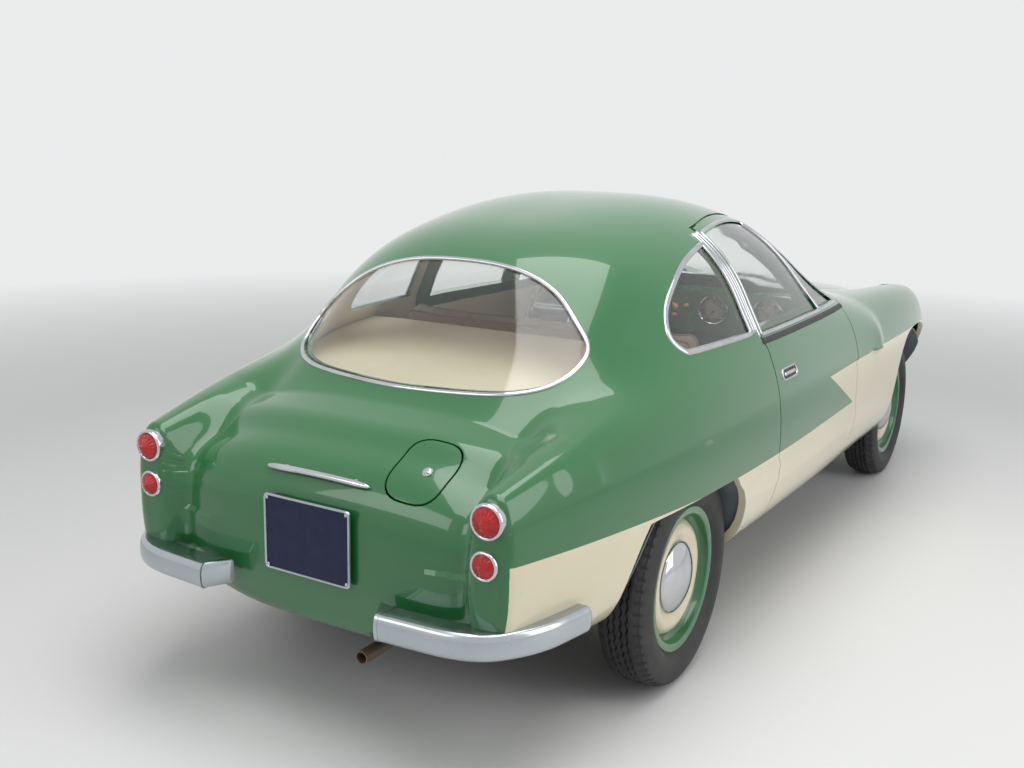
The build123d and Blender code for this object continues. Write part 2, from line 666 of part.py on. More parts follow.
def floor_pan(core):
    """Floor, tunnel, sills, kick-up, boot floor, chassis rails and spring brackets as one piece."""
    under = FLOOR_TOP_Z - FLOOR_PLATE
    sill = skin_x(0, SILL_Z) - DOOR_THICKNESS - 14
    pan = block(-sill, sill, FIREWALL_Y, KICK_UP_Y, under, FLOOR_TOP_Z)
    pan += block(-TUNNEL, TUNNEL, FIREWALL_Y, KICK_UP_Y + FLOOR_PLATE, under, TUNNEL_Z)
    for beam in both_sides(block(sill - 50, sill, FIREWALL_Y, KICK_UP_Y, under, 350)):
        pan += beam
    pan += block(-sill, sill, KICK_UP_Y, KICK_UP_Y + FLOOR_PLATE, under, BOOT_FLOOR_Z)
    boot = block(-700, 700, KICK_UP_Y, 1860, BOOT_FLOOR_Z - FLOOR_PLATE, BOOT_FLOOR_Z) & core
    for hood in both_sides(rod((REAR_HOUSE_X - SEAT_GAP, REAR_AXLE_Y, AXLE_Z), (900, REAR_AXLE_Y, AXLE_Z),
                               REAR_HOUSE_RADIUS + ARCH_PLATE + SEAT_GAP)):
        boot -= hood
    pan += boot
    for y in (SPRING_FRONT_Y, SPRING_REAR_Y):
        for bracket in both_sides(block(SPRING_X - 22, SPRING_X + 22, y - 22, y + 22,
                                        SPRING_END_Z + SEAT_GAP, BOOT_FLOOR_Z - FLOOR_PLATE)):
            pan += bracket
    rail_inner, rail_outer = RAIL_X - RAIL_WIDTH / 2, RAIL_X + RAIL_WIDTH / 2
    rail = block(rail_inner, rail_outer, RAIL_FRONT_Y, FIREWALL_Y + 60, RAIL_Z, RAIL_Z + RAIL_HEIGHT)
    rail += block(rail_inner, rail_outer, FIREWALL_Y, FIREWALL_Y + 60, under, RAIL_Z + RAIL_HEIGHT)
    for one in both_sides(rail):
        pan += one
    pan -= block(-TUNNEL + FLOOR_PLATE, TUNNEL - FLOOR_PLATE, FIREWALL_Y - 5, KICK_UP_Y + 40, 200,
                 TUNNEL_Z - FLOOR_PLATE)
    return pan


def firewall(core):
    """The wall between engine and cabin, open where the tunnel passes."""
    wall = block(-700, 700, FIREWALL_Y - FLOOR_PLATE - SEAT_GAP, FIREWALL_Y - SEAT_GAP, SILL_Z, 1100)
    wall = wall & core
    wall -= block(-TUNNEL + FLOOR_PLATE, TUNNEL - FLOOR_PLATE, -900, 0, 200, TUNNEL_Z - FLOOR_PLATE)
    for rail in both_sides(block(RAIL_X - RAIL_WIDTH / 2 - SEAT_GAP, RAIL_X + RAIL_WIDTH / 2 + SEAT_GAP,
                                 -900, 0, RAIL_Z - SEAT_GAP, RAIL_Z + RAIL_HEIGHT + SEAT_GAP)):
        wall -= rail
    return wall


def parcel_shelf(core):
    return block(-700, 700, SHELF_FRONT_Y, 1600, SHELF_Z - FLOOR_PLATE, SHELF_Z) & core


def dashboard(core):
    """The painted dash: it reaches the cowl sides ahead of the doors and is narrower behind."""
    wide = block(-700, 700, DASH_FACE_Y - 130, DASH_FACE_Y - 45, DASH_LOW_Z, DASH_TOP_Z) & core
    return wide + block(-DASH_HALF_WIDTH, DASH_HALF_WIDTH, DASH_FACE_Y - 45, DASH_FACE_Y,
                        DASH_LOW_Z, DASH_TOP_Z)


def dash_dials():
    """Two big round dials and a row of knobs on the face of the dash."""
    dials = [rod((x, DASH_FACE_Y, DIAL_Z), (x, DASH_FACE_Y + 12, DIAL_Z), DIAL_RADIUS) for x in DIAL_X]
    knobs = [rod((x, DASH_FACE_Y, z), (x, DASH_FACE_Y + 22, z), 10) for x, z in KNOBS]
    return dials + knobs


# ---------------------------------------------------------------- engine, axles and exhaust
def engine_block():
    """One plain block for the engine on two mounts that stand on the chassis rails."""
    top = RAIL_Z + RAIL_HEIGHT
    engine = block(-190, 190, ENGINE_FRONT_Y, ENGINE_REAR_Y, 365, 720)
    for foot in both_sides(block(185, RAIL_X + 15, -1220, -1140, top + SEAT_GAP, top + 30)):
        engine += foot
    return engine


def gearbox_and_shaft():
    """The gearbox behind the engine and the propeller shaft to the rear axle."""
    box = block(-80, 80, ENGINE_REAR_Y + SEAT_GAP, -430, 300, 405)
    return box + rod((0, -430, 335), (0, REAR_AXLE_Y - 95 - 1, 315), 28)


def front_axle():
    """Cross member under the rails, with fixed arms out to the two kingpins."""
    y = FRONT_AXLE_Y
    beam = block(-RAIL_X - 25, RAIL_X + 25, y - 45, y + 45, LOW_ARM_Z, RAIL_Z - SEAT_GAP)
    for side in (1, -1):
        x = side * KINGPIN_X
        near, far = sorted((side * (RAIL_X - 5), x + side * 16))
        beam += block(near, far, y - 20, y + 20, LOW_ARM_Z, LOW_ARM_Z + 20)
        near, far = sorted((side * (RAIL_X + RAIL_WIDTH / 2 + SEAT_GAP), x + side * 16))
        beam += block(near, far, y - 20, y + 20, HIGH_ARM_Z, HIGH_ARM_Z + 20)
        beam += rod((x, y, LOW_ARM_Z), (x, y, HIGH_ARM_Z + 20), KINGPIN_RADIUS)
    return beam


def knuckle():
    """The left steering knuckle: a bored boss on the kingpin and the stub axle."""
    x, y = KINGPIN_X, FRONT_AXLE_Y
    boss = rod((x, y, LOW_ARM_Z + 20 + SEAT_GAP), (x, y, HIGH_ARM_Z - SEAT_GAP), 19)
    stub = rod((x, y, AXLE_Z), (FRONT_TRACK / 2 + 24, y, AXLE_Z), STUB_RADIUS)
    return boss + stub - rod((x, y, 100), (x, y, 600), KINGPIN_RADIUS + SEAT_GAP)


def rear_axle():
    """Axle tube with its differential, stub ends for the wheels and two leaf springs."""
    y = REAR_AXLE_Y
    axle = rod((-520, y, AXLE_Z), (520, y, AXLE_Z), 32)
    axle += rod((-75, y, AXLE_Z), (75, y, AXLE_Z), 92)
    axle += rod((0, y - 95, 315), (0, y, 315), 45)
    axle += rod((-REAR_TRACK / 2 - 24, y, AXLE_Z), (REAR_TRACK / 2 + 24, y, AXLE_Z), STUB_RADIUS)
    middle = (SPRING_FRONT_Y + SPRING_REAR_Y) / 2
    low, high = AXLE_Z + 30, SPRING_END_Z
    upper = ThreePointArc((SPRING_FRONT_Y - 18, high), (middle, low + 14), (SPRING_REAR_Y + 18, high))
    lower = ThreePointArc((SPRING_FRONT_Y - 18, high - 14), (middle, low), (SPRING_REAR_Y + 18, high - 14))
    ends = Line(upper @ 0, lower @ 0) + Line(upper @ 1, lower @ 1)
    leaf = side_slab(make_face(upper + lower + ends), SPRING_X - 22, SPRING_X + 22)
    for one in both_sides(leaf):
        axle += one
    return axle


def exhaust():
    """Down pipe, silencer and tail pipe, hung from the floor by two straps."""
    z = EXHAUST_Z
    path = FilletPolyline((EXHAUST_X, -1060, 365 - SEAT_GAP), (EXHAUST_X, -1060, z),
                          (EXHAUST_X, EXHAUST_END_Y, z), radius=60)
    pipe = sweep(Plane(origin=path @ 0, z_dir=path % 0) * Circle(18), path)
    pipe += rod((EXHAUST_X, -100, z), (EXHAUST_X, 450, z), 48)
    pipe += block(EXHAUST_X - 10, EXHAUST_X + 10, 170, 180, z, FLOOR_TOP_Z - FLOOR_PLATE - SEAT_GAP)
    pipe += block(EXHAUST_X - 5, EXHAUST_X + 5, 1700, 1720, z, BOOT_FLOOR_Z - FLOOR_PLATE - SEAT_GAP)
    return pipe - rod((EXHAUST_X, EXHAUST_END_Y - 80, z), (EXHAUST_X, EXHAUST_END_Y + 10, z), 15)


# ---------------------------------------------------------------- wheels
def spun(points, x, y):
    """A profile of (across, radius) points turned about the axle line at (x, y)."""
    face = make_face(Polyline(*points, close=True))
    return Pos(x, y, AXLE_Z) * revolve(face, Axis.X)


def tyre(x, y):
    """A tyre that fills its rim between the flanges."""
    half, top = TYRE_WIDTH / 2, TYRE_RADIUS
    seat = RIM_WIDTH / 2 - 7
    side = [(seat, RIM_RADIUS + SEAT_GAP), (seat, RIM_RADIUS + 19), (half - 8, RIM_RADIUS + 28),
            (half, RIM_RADIUS + 58), (half - 4, top - 34), (half - 15, top - 9), (half - 30, top)]
    return spun([(-px, r) for px, r in side] + side[::-1], x, y)


def wheel(x, y):
    """Rim, dished disc, hub and brake drum as one piece, its face towards side x."""
    half = RIM_WIDTH / 2
    lip = RIM_RADIUS + 17
    rim = [(-half, lip), (6 - half, lip), (6 - half, RIM_RADIUS), (-26, RIM_RADIUS - 3),
           (-18, RIM_RADIUS - 18), (18, RIM_RADIUS - 18), (26, RIM_RADIUS - 3), (half - 6, RIM_RADIUS),
           (half - 6, lip), (half, lip), (half, RIM_RADIUS - 6), (30, RIM_RADIUS - 9),
           (22, RIM_RADIUS - 24), (-22, RIM_RADIUS - 24), (-30, RIM_RADIUS - 9), (-half, RIM_RADIUS - 6)]
    disc = [(4, RIM_RADIUS - 22), (14, RIM_RADIUS - 22), (36, 152), (42, 132), (34, 108), (28, 90),
            (28, 60), (22, 60), (22, 92), (28, 110), (34, 132), (28, 150)]
    bore = STUB_RADIUS + SEAT_GAP
    drum = [(-20, bore), (-20, DRUM_RADIUS), (16, DRUM_RADIUS), (25, 80), (25, 30), (38, 30), (38, 0),
            (26, 0), (26, bore)]
    profile = make_face(Polyline(*rim, close=True))
    profile += make_face(Polyline(*disc, close=True))
    profile += make_face(Polyline(*drum, close=True))
    solid = revolve(profile, Axis.X)
    solid = solid if x > 0 else mirror(solid, Plane.YZ)
    return Pos(x, y, AXLE_Z) * solid


# ---------------------------------------------------------------- outside fittings
def bumper(side, end, rind):
    """One quarter bumper: side +1 is left, end +1 is the tail."""
    z = BUMPER_Z
    tip = HALF_LENGTH - BUMPER_THICK / 2
    corner, elbow, last = BUMPER_PLAN[end]
    points = [(BUMPER_INNER_X, tip), (corner, tip - 14), (skin_x(end * elbow, z) + 34, elbow),
              (skin_x(end * last, z) + 30, last)]
    path = FilletPolyline(*[(x, y, z) for x, y in points], radius=70)
    face = Ellipse(BUMPER_HEIGHT / 2, BUMPER_THICK / 2)
    bar = sweep(Plane(origin=path @ 0, x_dir=(0, 0, 1), z_dir=path % 0) * face, path)
    wall = end * skin_y(BRACKET_X, z, end)
    bar += block(BRACKET_X - 15, BRACKET_X + 15, wall - 15, tip - 8, z - 14, z + 14)
    bar = bar if side > 0 else mirror(bar, Plane.YZ)
    bar = bar if end > 0 else mirror(bar, Plane.XZ)
    return bar - rind


def lamp(x, z, radius, side):
    """A lamp in its hole: a round body with a domed or conical lens."""
    face_y = skin_y(x, z, side)
    body = rod((x, face_y - side * LAMP_DEPTH, z), (x, face_y + side * 8, z), radius - SEAT_GAP)
    lens = Cone(radius - 6, radius * 0.3, radius * 0.75)
    turn = -90 if side > 0 else 90
    return body + Pos(x, face_y + side * (8 + radius * 0.375), z) * Rot(turn, 0, 0) * lens


def number_plate():
    """The blank plate on two short feet."""
    y = PLATE_Y
    plate = block(-135, 135, y, y + 3, PLATE_Z - 98, PLATE_Z + 98)
    for x in (-90, 90):
        plate += rod((x, y - 25, PLATE_Z + 60), (x, y + 1, PLATE_Z + 60), 8)
    return plate


def tail_handle():
    """The bright bar above the plate on two short feet."""
    z = HANDLE_Z
    y = skin_y(0, z) + 14
    bar = rod((-HANDLE_LENGTH / 2, y, z), (HANDLE_LENGTH / 2, y, z), 9)
    for x in (-120, 120):
        bar += rod((x, y - 30, z), (x, y, z), 6)
    return bar


def grille():
    """An oval frame with flat bars that fills the mouth in the nose."""
    y = skin_y(0, GRILLE_Z, -1) + 18
    wide, tall = GRILLE_SIZE
    outer = SlotOverall(wide - 2 * SEAT_GAP, tall - 2 * SEAT_GAP)
    frame = outer - SlotOverall(wide - 36, tall - 36)
    for step in range(-3, 4):
        frame += Pos(0, step * 19) * Rectangle(wide, 6) & SlotOverall(wide - 30, tall - 30)
    return Pos(0, y + 26, GRILLE_Z) * extrude(Plane.XZ * frame, 26)


# ---------------------------------------------------------------- cabin fittings
def wheel_frame():
    """The plane of the steering wheel's rim."""
    tilt = radians(COLUMN_TILT)
    return Plane(origin=STEERING_CENTRE, x_dir=(1, 0, 0), z_dir=(0, cos(tilt), sin(tilt)))


def steering_wheel():
    """Rim, hub and three spokes, bored for the column's spindle."""
    rim = Torus(STEERING_RADIUS, 9)
    hub = Pos(0, 0, -12) * Cylinder(26, 34)
    for turn in (0, 180, 270):
        hub += Rot(0, 0, turn) * Pos(STEERING_RADIUS / 2, 0, -6) * Box(STEERING_RADIUS, 14, 5)
    solid = rim + hub - Pos(0, 0, -20) * Cylinder(10 + SEAT_GAP, 36)
    return wheel_frame() * solid


def steering_column():
    """The column from the firewall to the wheel, with its bracket under the dash."""
    tilt = radians(COLUMN_TILT)
    x, y, z = STEERING_CENTRE
    run = y - FIREWALL_Y - 2
    foot = (x, y - run, z - run * sin(tilt) / cos(tilt))
    neck = (x, y - 60 * cos(tilt), z - 60 * sin(tilt))
    column = rod(foot, neck, 17) + rod(neck, (x, y - 4 * cos(tilt), z - 4 * sin(tilt)), 10)
    column -= block(x - 60, x + 60, FIREWALL_Y - 100, FIREWALL_Y + SEAT_GAP, 0, 900)
    at = DASH_FACE_Y - 60
    under = z - (y - at) * sin(tilt) / cos(tilt)
    return column + block(x - 15, x + 15, at - 15, at + 15, under, DASH_LOW_Z - SEAT_GAP)


def seat_cushion():
    cushion = block(-SEAT_HALF, SEAT_HALF, SEAT_FRONT_Y, SEAT_BACK_Y, SEAT_FRAME_Z + SEAT_GAP, SEAT_TOP_Z)
    return fillet(cushion.edges(), 28)


def seat_back_place(rise):
    """The place on the backrest's leaning middle line that is rise above its centre."""
    lean = radians(SEAT_LEAN)
    reach = SEAT_BACK_HEIGHT / 2 + rise
    return Pos(0, SEAT_BACK_Y + 64 + reach * sin(lean), SEAT_FRAME_Z + 30 + reach * cos(lean)) * Rot(
        -SEAT_LEAN, 0, 0)


def seat_back():
    """The backrest, leaning back and rounded all over."""
    back = Box(2 * SEAT_HALF, 120, SEAT_BACK_HEIGHT)
    return seat_back_place(0) * fillet(back.edges(), 34)


def seat_frame():
    """The low box that carries the bench, with a ledge that the backrest stands on."""
    frame = block(-SEAT_HALF + 60, -TUNNEL - 6, SEAT_FRONT_Y + 30, SEAT_BACK_Y, FLOOR_TOP_Z + SEAT_GAP,
                  SEAT_FRAME_Z)
    frame += mirror(frame, Plane.YZ)
    frame += block(-SEAT_HALF + 60, SEAT_HALF - 60, SEAT_FRONT_Y + 30, SEAT_BACK_Y + 60,
                   TUNNEL_Z + 4, SEAT_FRAME_Z)
    foot = Box(2 * SEAT_HALF - 120, 40, 44)
    return frame + seat_back_place(-SEAT_BACK_HEIGHT / 2 - SEAT_GAP - 22) * foot


def build():
    """Every sub-part by name."""
    skin, hollow, deep = skin_solid(), skin_solid(BODY_WALL), skin_solid(DOOR_THICKNESS)
    core, rind = skin_solid(BODY_WALL + SEAT_GAP), skin_solid(-SEAT_GAP)
    card = skin_solid(DOOR_THICKNESS + CARD_THICKNESS)
    glass = skin_solid(GLASS_DEPTH) - skin_solid(GLASS_DEPTH + GLASS)
    shell = painted_shell(skin, hollow)
    front, cabin = split_shell(shell)
    left_door = door(skin, hollow, deep)
    front_left, left_door = hinge_pair(front, left_door, door_hinges)
    front = front_left
    for piece in door_hinges("room"):
        front = front - mirror(piece, Plane.YZ)
    for piece in door_hinges("pin"):
        front = front + mirror(piece, Plane.YZ)
    bonnet = (skin - hollow) & bonnet_cutter(0)
    front, bonnet = hinge_pair(front, bonnet, bonnet_hinges)
    flap = (skin - hollow) & flap_cutter(0)
    cabin, flap = hinge_pair(cabin, flap, flap_hinge)
    parts = {"front_body": front, "cabin_body": cabin, "bonnet": bonnet, "fuel_flap": flap}

    door_card = trim_card(deep, card)
    panes = side_slab(door_window_face(SEAT_GAP), 330, 900) - side_slab(vent_bar_face(SEAT_GAP), 330, 900)
    door_glass = glass & panes
    for side, flip in (("left", False), ("right", True)):
        for name, solid in (("door", left_door), ("door_card", door_card), ("door_glass", door_glass),
                            ("knuckle", knuckle())):
            parts[f"{name}_{side}"] = mirror(solid, Plane.YZ) if flip else solid
    parts["quarter_windows"] = both_sides(glass & side_slab(quarter_window_face(SEAT_GAP), 330, 900))
    parts["rear_window"] = glass & (Pos(0, 2200, 0) * extrude(Plane.XZ * rear_window_face(SEAT_GAP), 1300))
    parts["windscreen"] = glass & windscreen_cutter(SEAT_GAP)

    parts["floor_pan"] = floor_pan(core)
    parts["firewall"] = firewall(core)
    parts["wheelhouses"] = both_sides(front_wheelhouse(core)) + both_sides(rear_wheelhouse(core))
    parts["parcel_shelf"] = parcel_shelf(core)
    parts["dashboard"] = dashboard(core)
    parts["dash_dials"] = dash_dials()
    parts["steering_column"] = steering_column()
    parts["steering_wheel"] = steering_wheel()
    parts["seat_frame"] = seat_frame()
    parts["seat_cushion"] = seat_cushion()
    parts["seat_back"] = seat_back()
    parts["engine_block"] = engine_block()
    parts["gearbox_and_shaft"] = gearbox_and_shaft()
    parts["front_axle"] = front_axle()
    parts["rear_axle"] = rear_axle()
    parts["exhaust"] = exhaust()
    parts["rear_bumpers"] = [bumper(1, 1, rind), bumper(-1, 1, rind)]
    parts["front_bumpers"] = [bumper(1, -1, rind), bumper(-1, -1, rind)]
    parts["tail_lamps"] = [one for spec in LAMPS[:2] for one in both_sides(lamp(*spec))]
    parts["headlamps"] = both_sides(lamp(*LAMPS[2]))
    parts["number_plate"] = number_plate() - rind
    parts["tail_handle"] = tail_handle() - rind
    parts["grille"] = grille()
    for place, x, y in (("front_left", FRONT_TRACK / 2, FRONT_AXLE_Y),
                        ("front_right", -FRONT_TRACK / 2, FRONT_AXLE_Y),
                        ("rear_left", REAR_TRACK / 2, REAR_AXLE_Y),
                        ("rear_right", -REAR_TRACK / 2, REAR_AXLE_Y)):
        parts[f"tyre_{place}"] = tyre(x, y)
        parts[f"wheel_{place}"] = wheel(x, y)
    return parts


if __name__ == "__main__":
    os.makedirs("parts", exist_ok=True)
    for name, shape in build().items():
        write(name, shape)
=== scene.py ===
# %% [markdown]
# # A small two-tone sports coupe
# This lesson builds the looks of a 1950s coupe on top of a finished engineering model.
# The engineering model gives exact places, sizes and joints. Blender adds smooth paint, glass,
# chrome, soft seats and tread. Every step says what the part is, how it could be made, and why
# this way was chosen.

# %% Load the engineering model
from math import cos, hypot, pi, radians, sin

import bmesh
import bpy
import numpy as np
from mathutils import Matrix, Vector


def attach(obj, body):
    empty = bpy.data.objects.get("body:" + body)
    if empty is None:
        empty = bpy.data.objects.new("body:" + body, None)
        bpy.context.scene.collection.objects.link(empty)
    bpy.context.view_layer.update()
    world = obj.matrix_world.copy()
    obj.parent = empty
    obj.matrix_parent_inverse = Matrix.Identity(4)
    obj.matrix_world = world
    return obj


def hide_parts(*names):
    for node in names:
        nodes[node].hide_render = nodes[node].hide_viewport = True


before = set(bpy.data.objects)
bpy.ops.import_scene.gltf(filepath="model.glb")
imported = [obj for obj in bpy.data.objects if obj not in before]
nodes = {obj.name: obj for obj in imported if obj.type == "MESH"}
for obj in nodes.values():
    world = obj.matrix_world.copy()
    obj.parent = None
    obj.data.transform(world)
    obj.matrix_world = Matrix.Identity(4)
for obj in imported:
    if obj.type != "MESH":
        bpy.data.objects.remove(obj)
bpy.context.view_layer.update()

# %% [markdown]
# ## Small helpers
# A mesh in Blender is a list of points and a list of faces. Most pieces below are worked out as
# points first, so one helper turns them into an object, and a second one adds a finish and
# fastens the piece to a moving body.

# %% Helpers for pieces
SIDES = {"left": 1, "right": -1}


def in_scene(name, data):
    piece = bpy.data.objects.new(name, data)
    bpy.context.scene.collection.objects.link(piece)
    return piece


def piece_from(name, points, faces, smooth=True):
    mesh = bpy.data.meshes.new(name)
    mesh.from_pydata([tuple(p) for p in points], [], [tuple(f) for f in faces])
    mesh.update()
    if smooth:
        mesh.shade_smooth()
    return in_scene(name, mesh)


def grid_faces(rows, wide, wrap=False, around=True):
    """Faces between rows of points; wrap joins the last row to the first one."""
    return [(i * wide + j, i * wide + (j + 1) % wide,
             (i + 1) % rows * wide + (j + 1) % wide, (i + 1) % rows * wide + j)
            for i in range(rows if wrap else rows - 1) for j in range(wide if around else wide - 1)]


def reworked(piece, change):
    """Run a change on a piece's points, edges and faces."""
    shape = bmesh.new()
    shape.from_mesh(piece.data)
    change(shape)
    shape.to_mesh(piece.data)
    shape.free()
    return piece


def turned_outward(piece):
    return reworked(piece, lambda shape: bmesh.ops.recalc_face_normals(shape, faces=shape.faces))


def welded(shape):
    bmesh.ops.remove_doubles(shape, verts=shape.verts, dist=0.00001)


def baked(piece):
    """Make a piece's modifiers permanent."""
    ready = piece.evaluated_get(bpy.context.evaluated_depsgraph_get())
    mesh = bpy.data.meshes.new_from_object(ready)
    piece.modifiers.clear()
    piece.data = mesh
    return piece


def fasten(piece, finish, body, slot, *stands_for):
    piece.data.materials.clear()
    piece.data.materials.append(finish)
    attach(piece, body)
    if stands_for:
        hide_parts(*stands_for)
    return piece


def joined(name, pieces):
    shape = bmesh.new()
    for piece in pieces:
        shape.from_mesh(piece.data)
        bpy.data.objects.remove(piece)
    mesh = bpy.data.meshes.new(name)
    shape.to_mesh(mesh)
    shape.free()
    return in_scene(name, mesh)


def copied(piece, name):
    return in_scene(name, piece.data.copy())


def mirrored(piece, name):
    copy = copied(piece, name)
    copy.data.transform(Matrix.Scale(-1, 4, (1, 0, 0)))
    copy.data.flip_normals()
    return copy


print("helpers for pieces are ready")

# %% [markdown]
# ## Finishes
# A finish is a small network of nodes. Paint on a car is a colour under a clear coat, so the
# shader's coat is on and its slight waviness comes from a very fine bump. Patterns use object
# coordinates, which here are metres on the car, so a line of paint can be placed like on a
# drawing.

# %% Helpers for finishes
def shader_of(finish):
    return finish.node_tree.nodes["Principled BSDF"]


def finish_named(name, colour, roughness=0.4, metallic=0.0, tones=None, patches=None,
                 shine=None, grain=None, **sockets):
    """A finish with its noise patterns.

    tones holds two colours, and patches (scale, low, high, most) spreads the second one;
    shine (scale, low, high, least, most) makes the roughness uneven; grain (scale, strength,
    distance) is a fine bump. Each pattern may end with the detail of its noise.
    """
    finish = bpy.data.materials.new(name)
    finish.use_nodes = True
    finish.diffuse_color = (*colour, 1.0)
    inputs = shader_of(finish).inputs
    inputs["Base Color"].default_value = (*colour, 1.0)
    inputs["Roughness"].default_value = roughness
    inputs["Metallic"].default_value = metallic
    for socket, value in sockets.items():
        inputs[socket.replace("_", " ")].default_value = value
    if tones:
        scale, low, high, most, *detail = patches
        amount = ramp(finish, noise(finish, scale, *detail), low, high, 0.0, most)
        link(finish, mixed(finish, amount, *tones), inputs["Base Color"])
    if shine:
        scale, low, high, least, most, *detail = shine
        link(finish, ramp(finish, noise(finish, scale, *detail), low, high, least, most), inputs["Roughness"])
    if grain:
        scale, strength, distance, *detail = grain
        bump(finish, noise(finish, scale, *detail), strength, distance)
    return finish


def node(finish, kind, **settings):
    made = finish.node_tree.nodes.new("ShaderNode" + kind)
    for key, value in settings.items():
        if key in made.inputs:
            made.inputs[key].default_value = value
        else:
            setattr(made, key, value)
    return made


def link(finish, source, target):
    finish.node_tree.links.new(source, target)


def place_on(finish):
    return node(finish, "TexCoord").outputs["Object"]


def noise(finish, scale, detail=4.0, rough=0.55):
    made = node(finish, "TexNoise", Scale=scale, Detail=detail, Roughness=rough)
    link(finish, place_on(finish), made.inputs["Vector"])
    return made.outputs["Fac"]


def ramp(finish, source, low, high, first, last):
    made = node(finish, "MapRange", **{"From Min": low, "From Max": high, "To Min": first, "To Max": last})
    link(finish, source, made.inputs["Value"])
    return made.outputs["Result"]


def bump(finish, source, strength, distance):
    made = node(finish, "Bump", Strength=strength, Distance=distance)
    link(finish, source, made.inputs["Height"])
    link(finish, made.outputs["Normal"], shader_of(finish).inputs["Normal"])


def mixed(finish, amount, first, second):
    made = node(finish, "Mix", data_type="RGBA")
    made.inputs[6].default_value = (*first, 1.0) if isinstance(first, tuple) else (0, 0, 0, 1)
    made.inputs[7].default_value = (*second, 1.0) if isinstance(second, tuple) else (0, 0, 0, 1)
    for colour, socket in ((first, made.inputs[6]), (second, made.inputs[7])):
        if not isinstance(colour, tuple):
            link(finish, colour, socket)
    link(finish, amount, made.inputs[0])
    return made.outputs[2]


def sums(finish, operation, first, second, third=None):
    made = node(finish, "Math", operation=operation)
    for socket, value in zip(made.inputs, (first, second, third)):
        if value is None:
            continue
        if isinstance(value, (int, float)):
            socket.default_value = value
        else:
            link(finish, value, socket)
    return made.outputs[0]


print("helpers for finishes are ready")

# %% [markdown]
# ## Two-tone paint
# The car is mid green above and cream below. The cream starts behind the rear wheel, runs
# forward under the door, and steps up at the front of the door in a slanting notch. Two masks
# could be painted by hand, but the border is made of straight runs and one gentle curve, so
# comparing each point's height with a few numbers gives a perfectly sharp edge at any distance.

# %% Body paint
GREEN = (0.018, 0.150, 0.042)
CREAM = (0.78, 0.70, 0.50)


def two_tone_mask(finish):
    split = node(finish, "SeparateXYZ")
    link(finish, place_on(finish), split.inputs[0])
    y, z = split.outputs["Y"], split.outputs["Z"]
    rear_rise = sums(finish, "MULTIPLY_ADD", sums(finish, "MAXIMUM", sums(finish, "SUBTRACT", y, 1.1), 0.0),
                     0.040, 0.552)
    low_band = sums(finish, "LESS_THAN", z, rear_rise)
    slant = sums(finish, "MULTIPLY_ADD", sums(finish, "SUBTRACT", z, 0.552), 2.10, -0.265)
    ahead = sums(finish, "LESS_THAN", y, slant)
    nose_fall = sums(finish, "MAXIMUM", sums(finish, "SUBTRACT", -1.45, y), 0.0)
    front_top = sums(finish, "MULTIPLY_ADD", sums(finish, "POWER", nose_fall, 1.5), -0.95, 0.700)
    high_band = sums(finish, "MULTIPLY", ahead, sums(finish, "LESS_THAN", z, front_top))
    low_front = sums(finish, "MULTIPLY", low_band, sums(finish, "LESS_THAN", z, front_top))
    band = sums(finish, "MAXIMUM", low_front, high_band)
    band = sums(finish, "MULTIPLY", band, sums(finish, "LESS_THAN", y, 1.921))
    across = sums(finish, "ABSOLUTE", split.outputs["X"], 0.0)
    return sums(finish, "MULTIPLY", band, sums(finish, "GREATER_THAN", across, 0.53))


body_paint = finish_named("body_paint", GREEN, 0.28, Coat_Weight=1.0, Coat_Roughness=0.035,
                          Specular_IOR_Level=0.25)
tone = mixed(body_paint, two_tone_mask(body_paint), GREEN, CREAM)
cloudy = ramp(body_paint, noise(body_paint, 2.3), 0.3, 0.7, 0.0, 0.06)
tone = mixed(body_paint, cloudy, tone, (0.07, 0.22, 0.08))
link(body_paint, tone, shader_of(body_paint).inputs["Base Color"])
bump(body_paint, noise(body_paint, 260.0, 2.0), 0.02, 0.0004)
print("paints", [m.name for m in bpy.data.materials if m.name.endswith("paint")])

# %% [markdown]
# ## The shape of the body
# A coupe body is hard to push into shape point by point, because every bump shows in the shine.
# So the skin is a formula: a tub, a cabin bubble and a wing on each side, each a rounded shape
# whose width and height change smoothly along the car, blended where they meet. The formula
# gives a signed reach: below zero inside the car, zero on its skin. It also gives the exact
# slope at each point, which makes flawless reflections later.

# %% Curves along the car
def curve(*stations):
    """A smooth line through (y, value) stations: a natural cubic, straight beyond both ends."""
    place = np.array([s[0] for s in stations], float)
    value = np.array([s[1] for s in stations], float)
    gap = np.diff(place)
    count = len(place)
    system = np.eye(count)
    pull = np.zeros(count)
    for i in range(1, count - 1):
        system[i, i - 1:i + 2] = gap[i - 1], 2 * (gap[i - 1] + gap[i]), gap[i]
        pull[i] = 3 * ((value[i + 1] - value[i]) / gap[i] - (value[i] - value[i - 1]) / gap[i - 1])
    bend = np.linalg.solve(system, pull)
    slope = np.diff(value) / gap - gap * (2 * bend[:-1] + bend[1:]) / 3
    twist = np.diff(bend) / (3 * gap)

    def at(y):
        y = np.asarray(y, float)
        i = np.clip(np.searchsorted(place, y) - 1, 0, count - 2)
        reach = y - place[i]
        inside = np.clip(reach, 0.0, gap[i])
        here = value[i] + slope[i] * inside + bend[i] * inside ** 2 + twist[i] * inside ** 3
        steepness = slope[i] + 2 * bend[i] * inside + 3 * twist[i] * inside ** 2
        return here + steepness * (reach - inside)
    return at


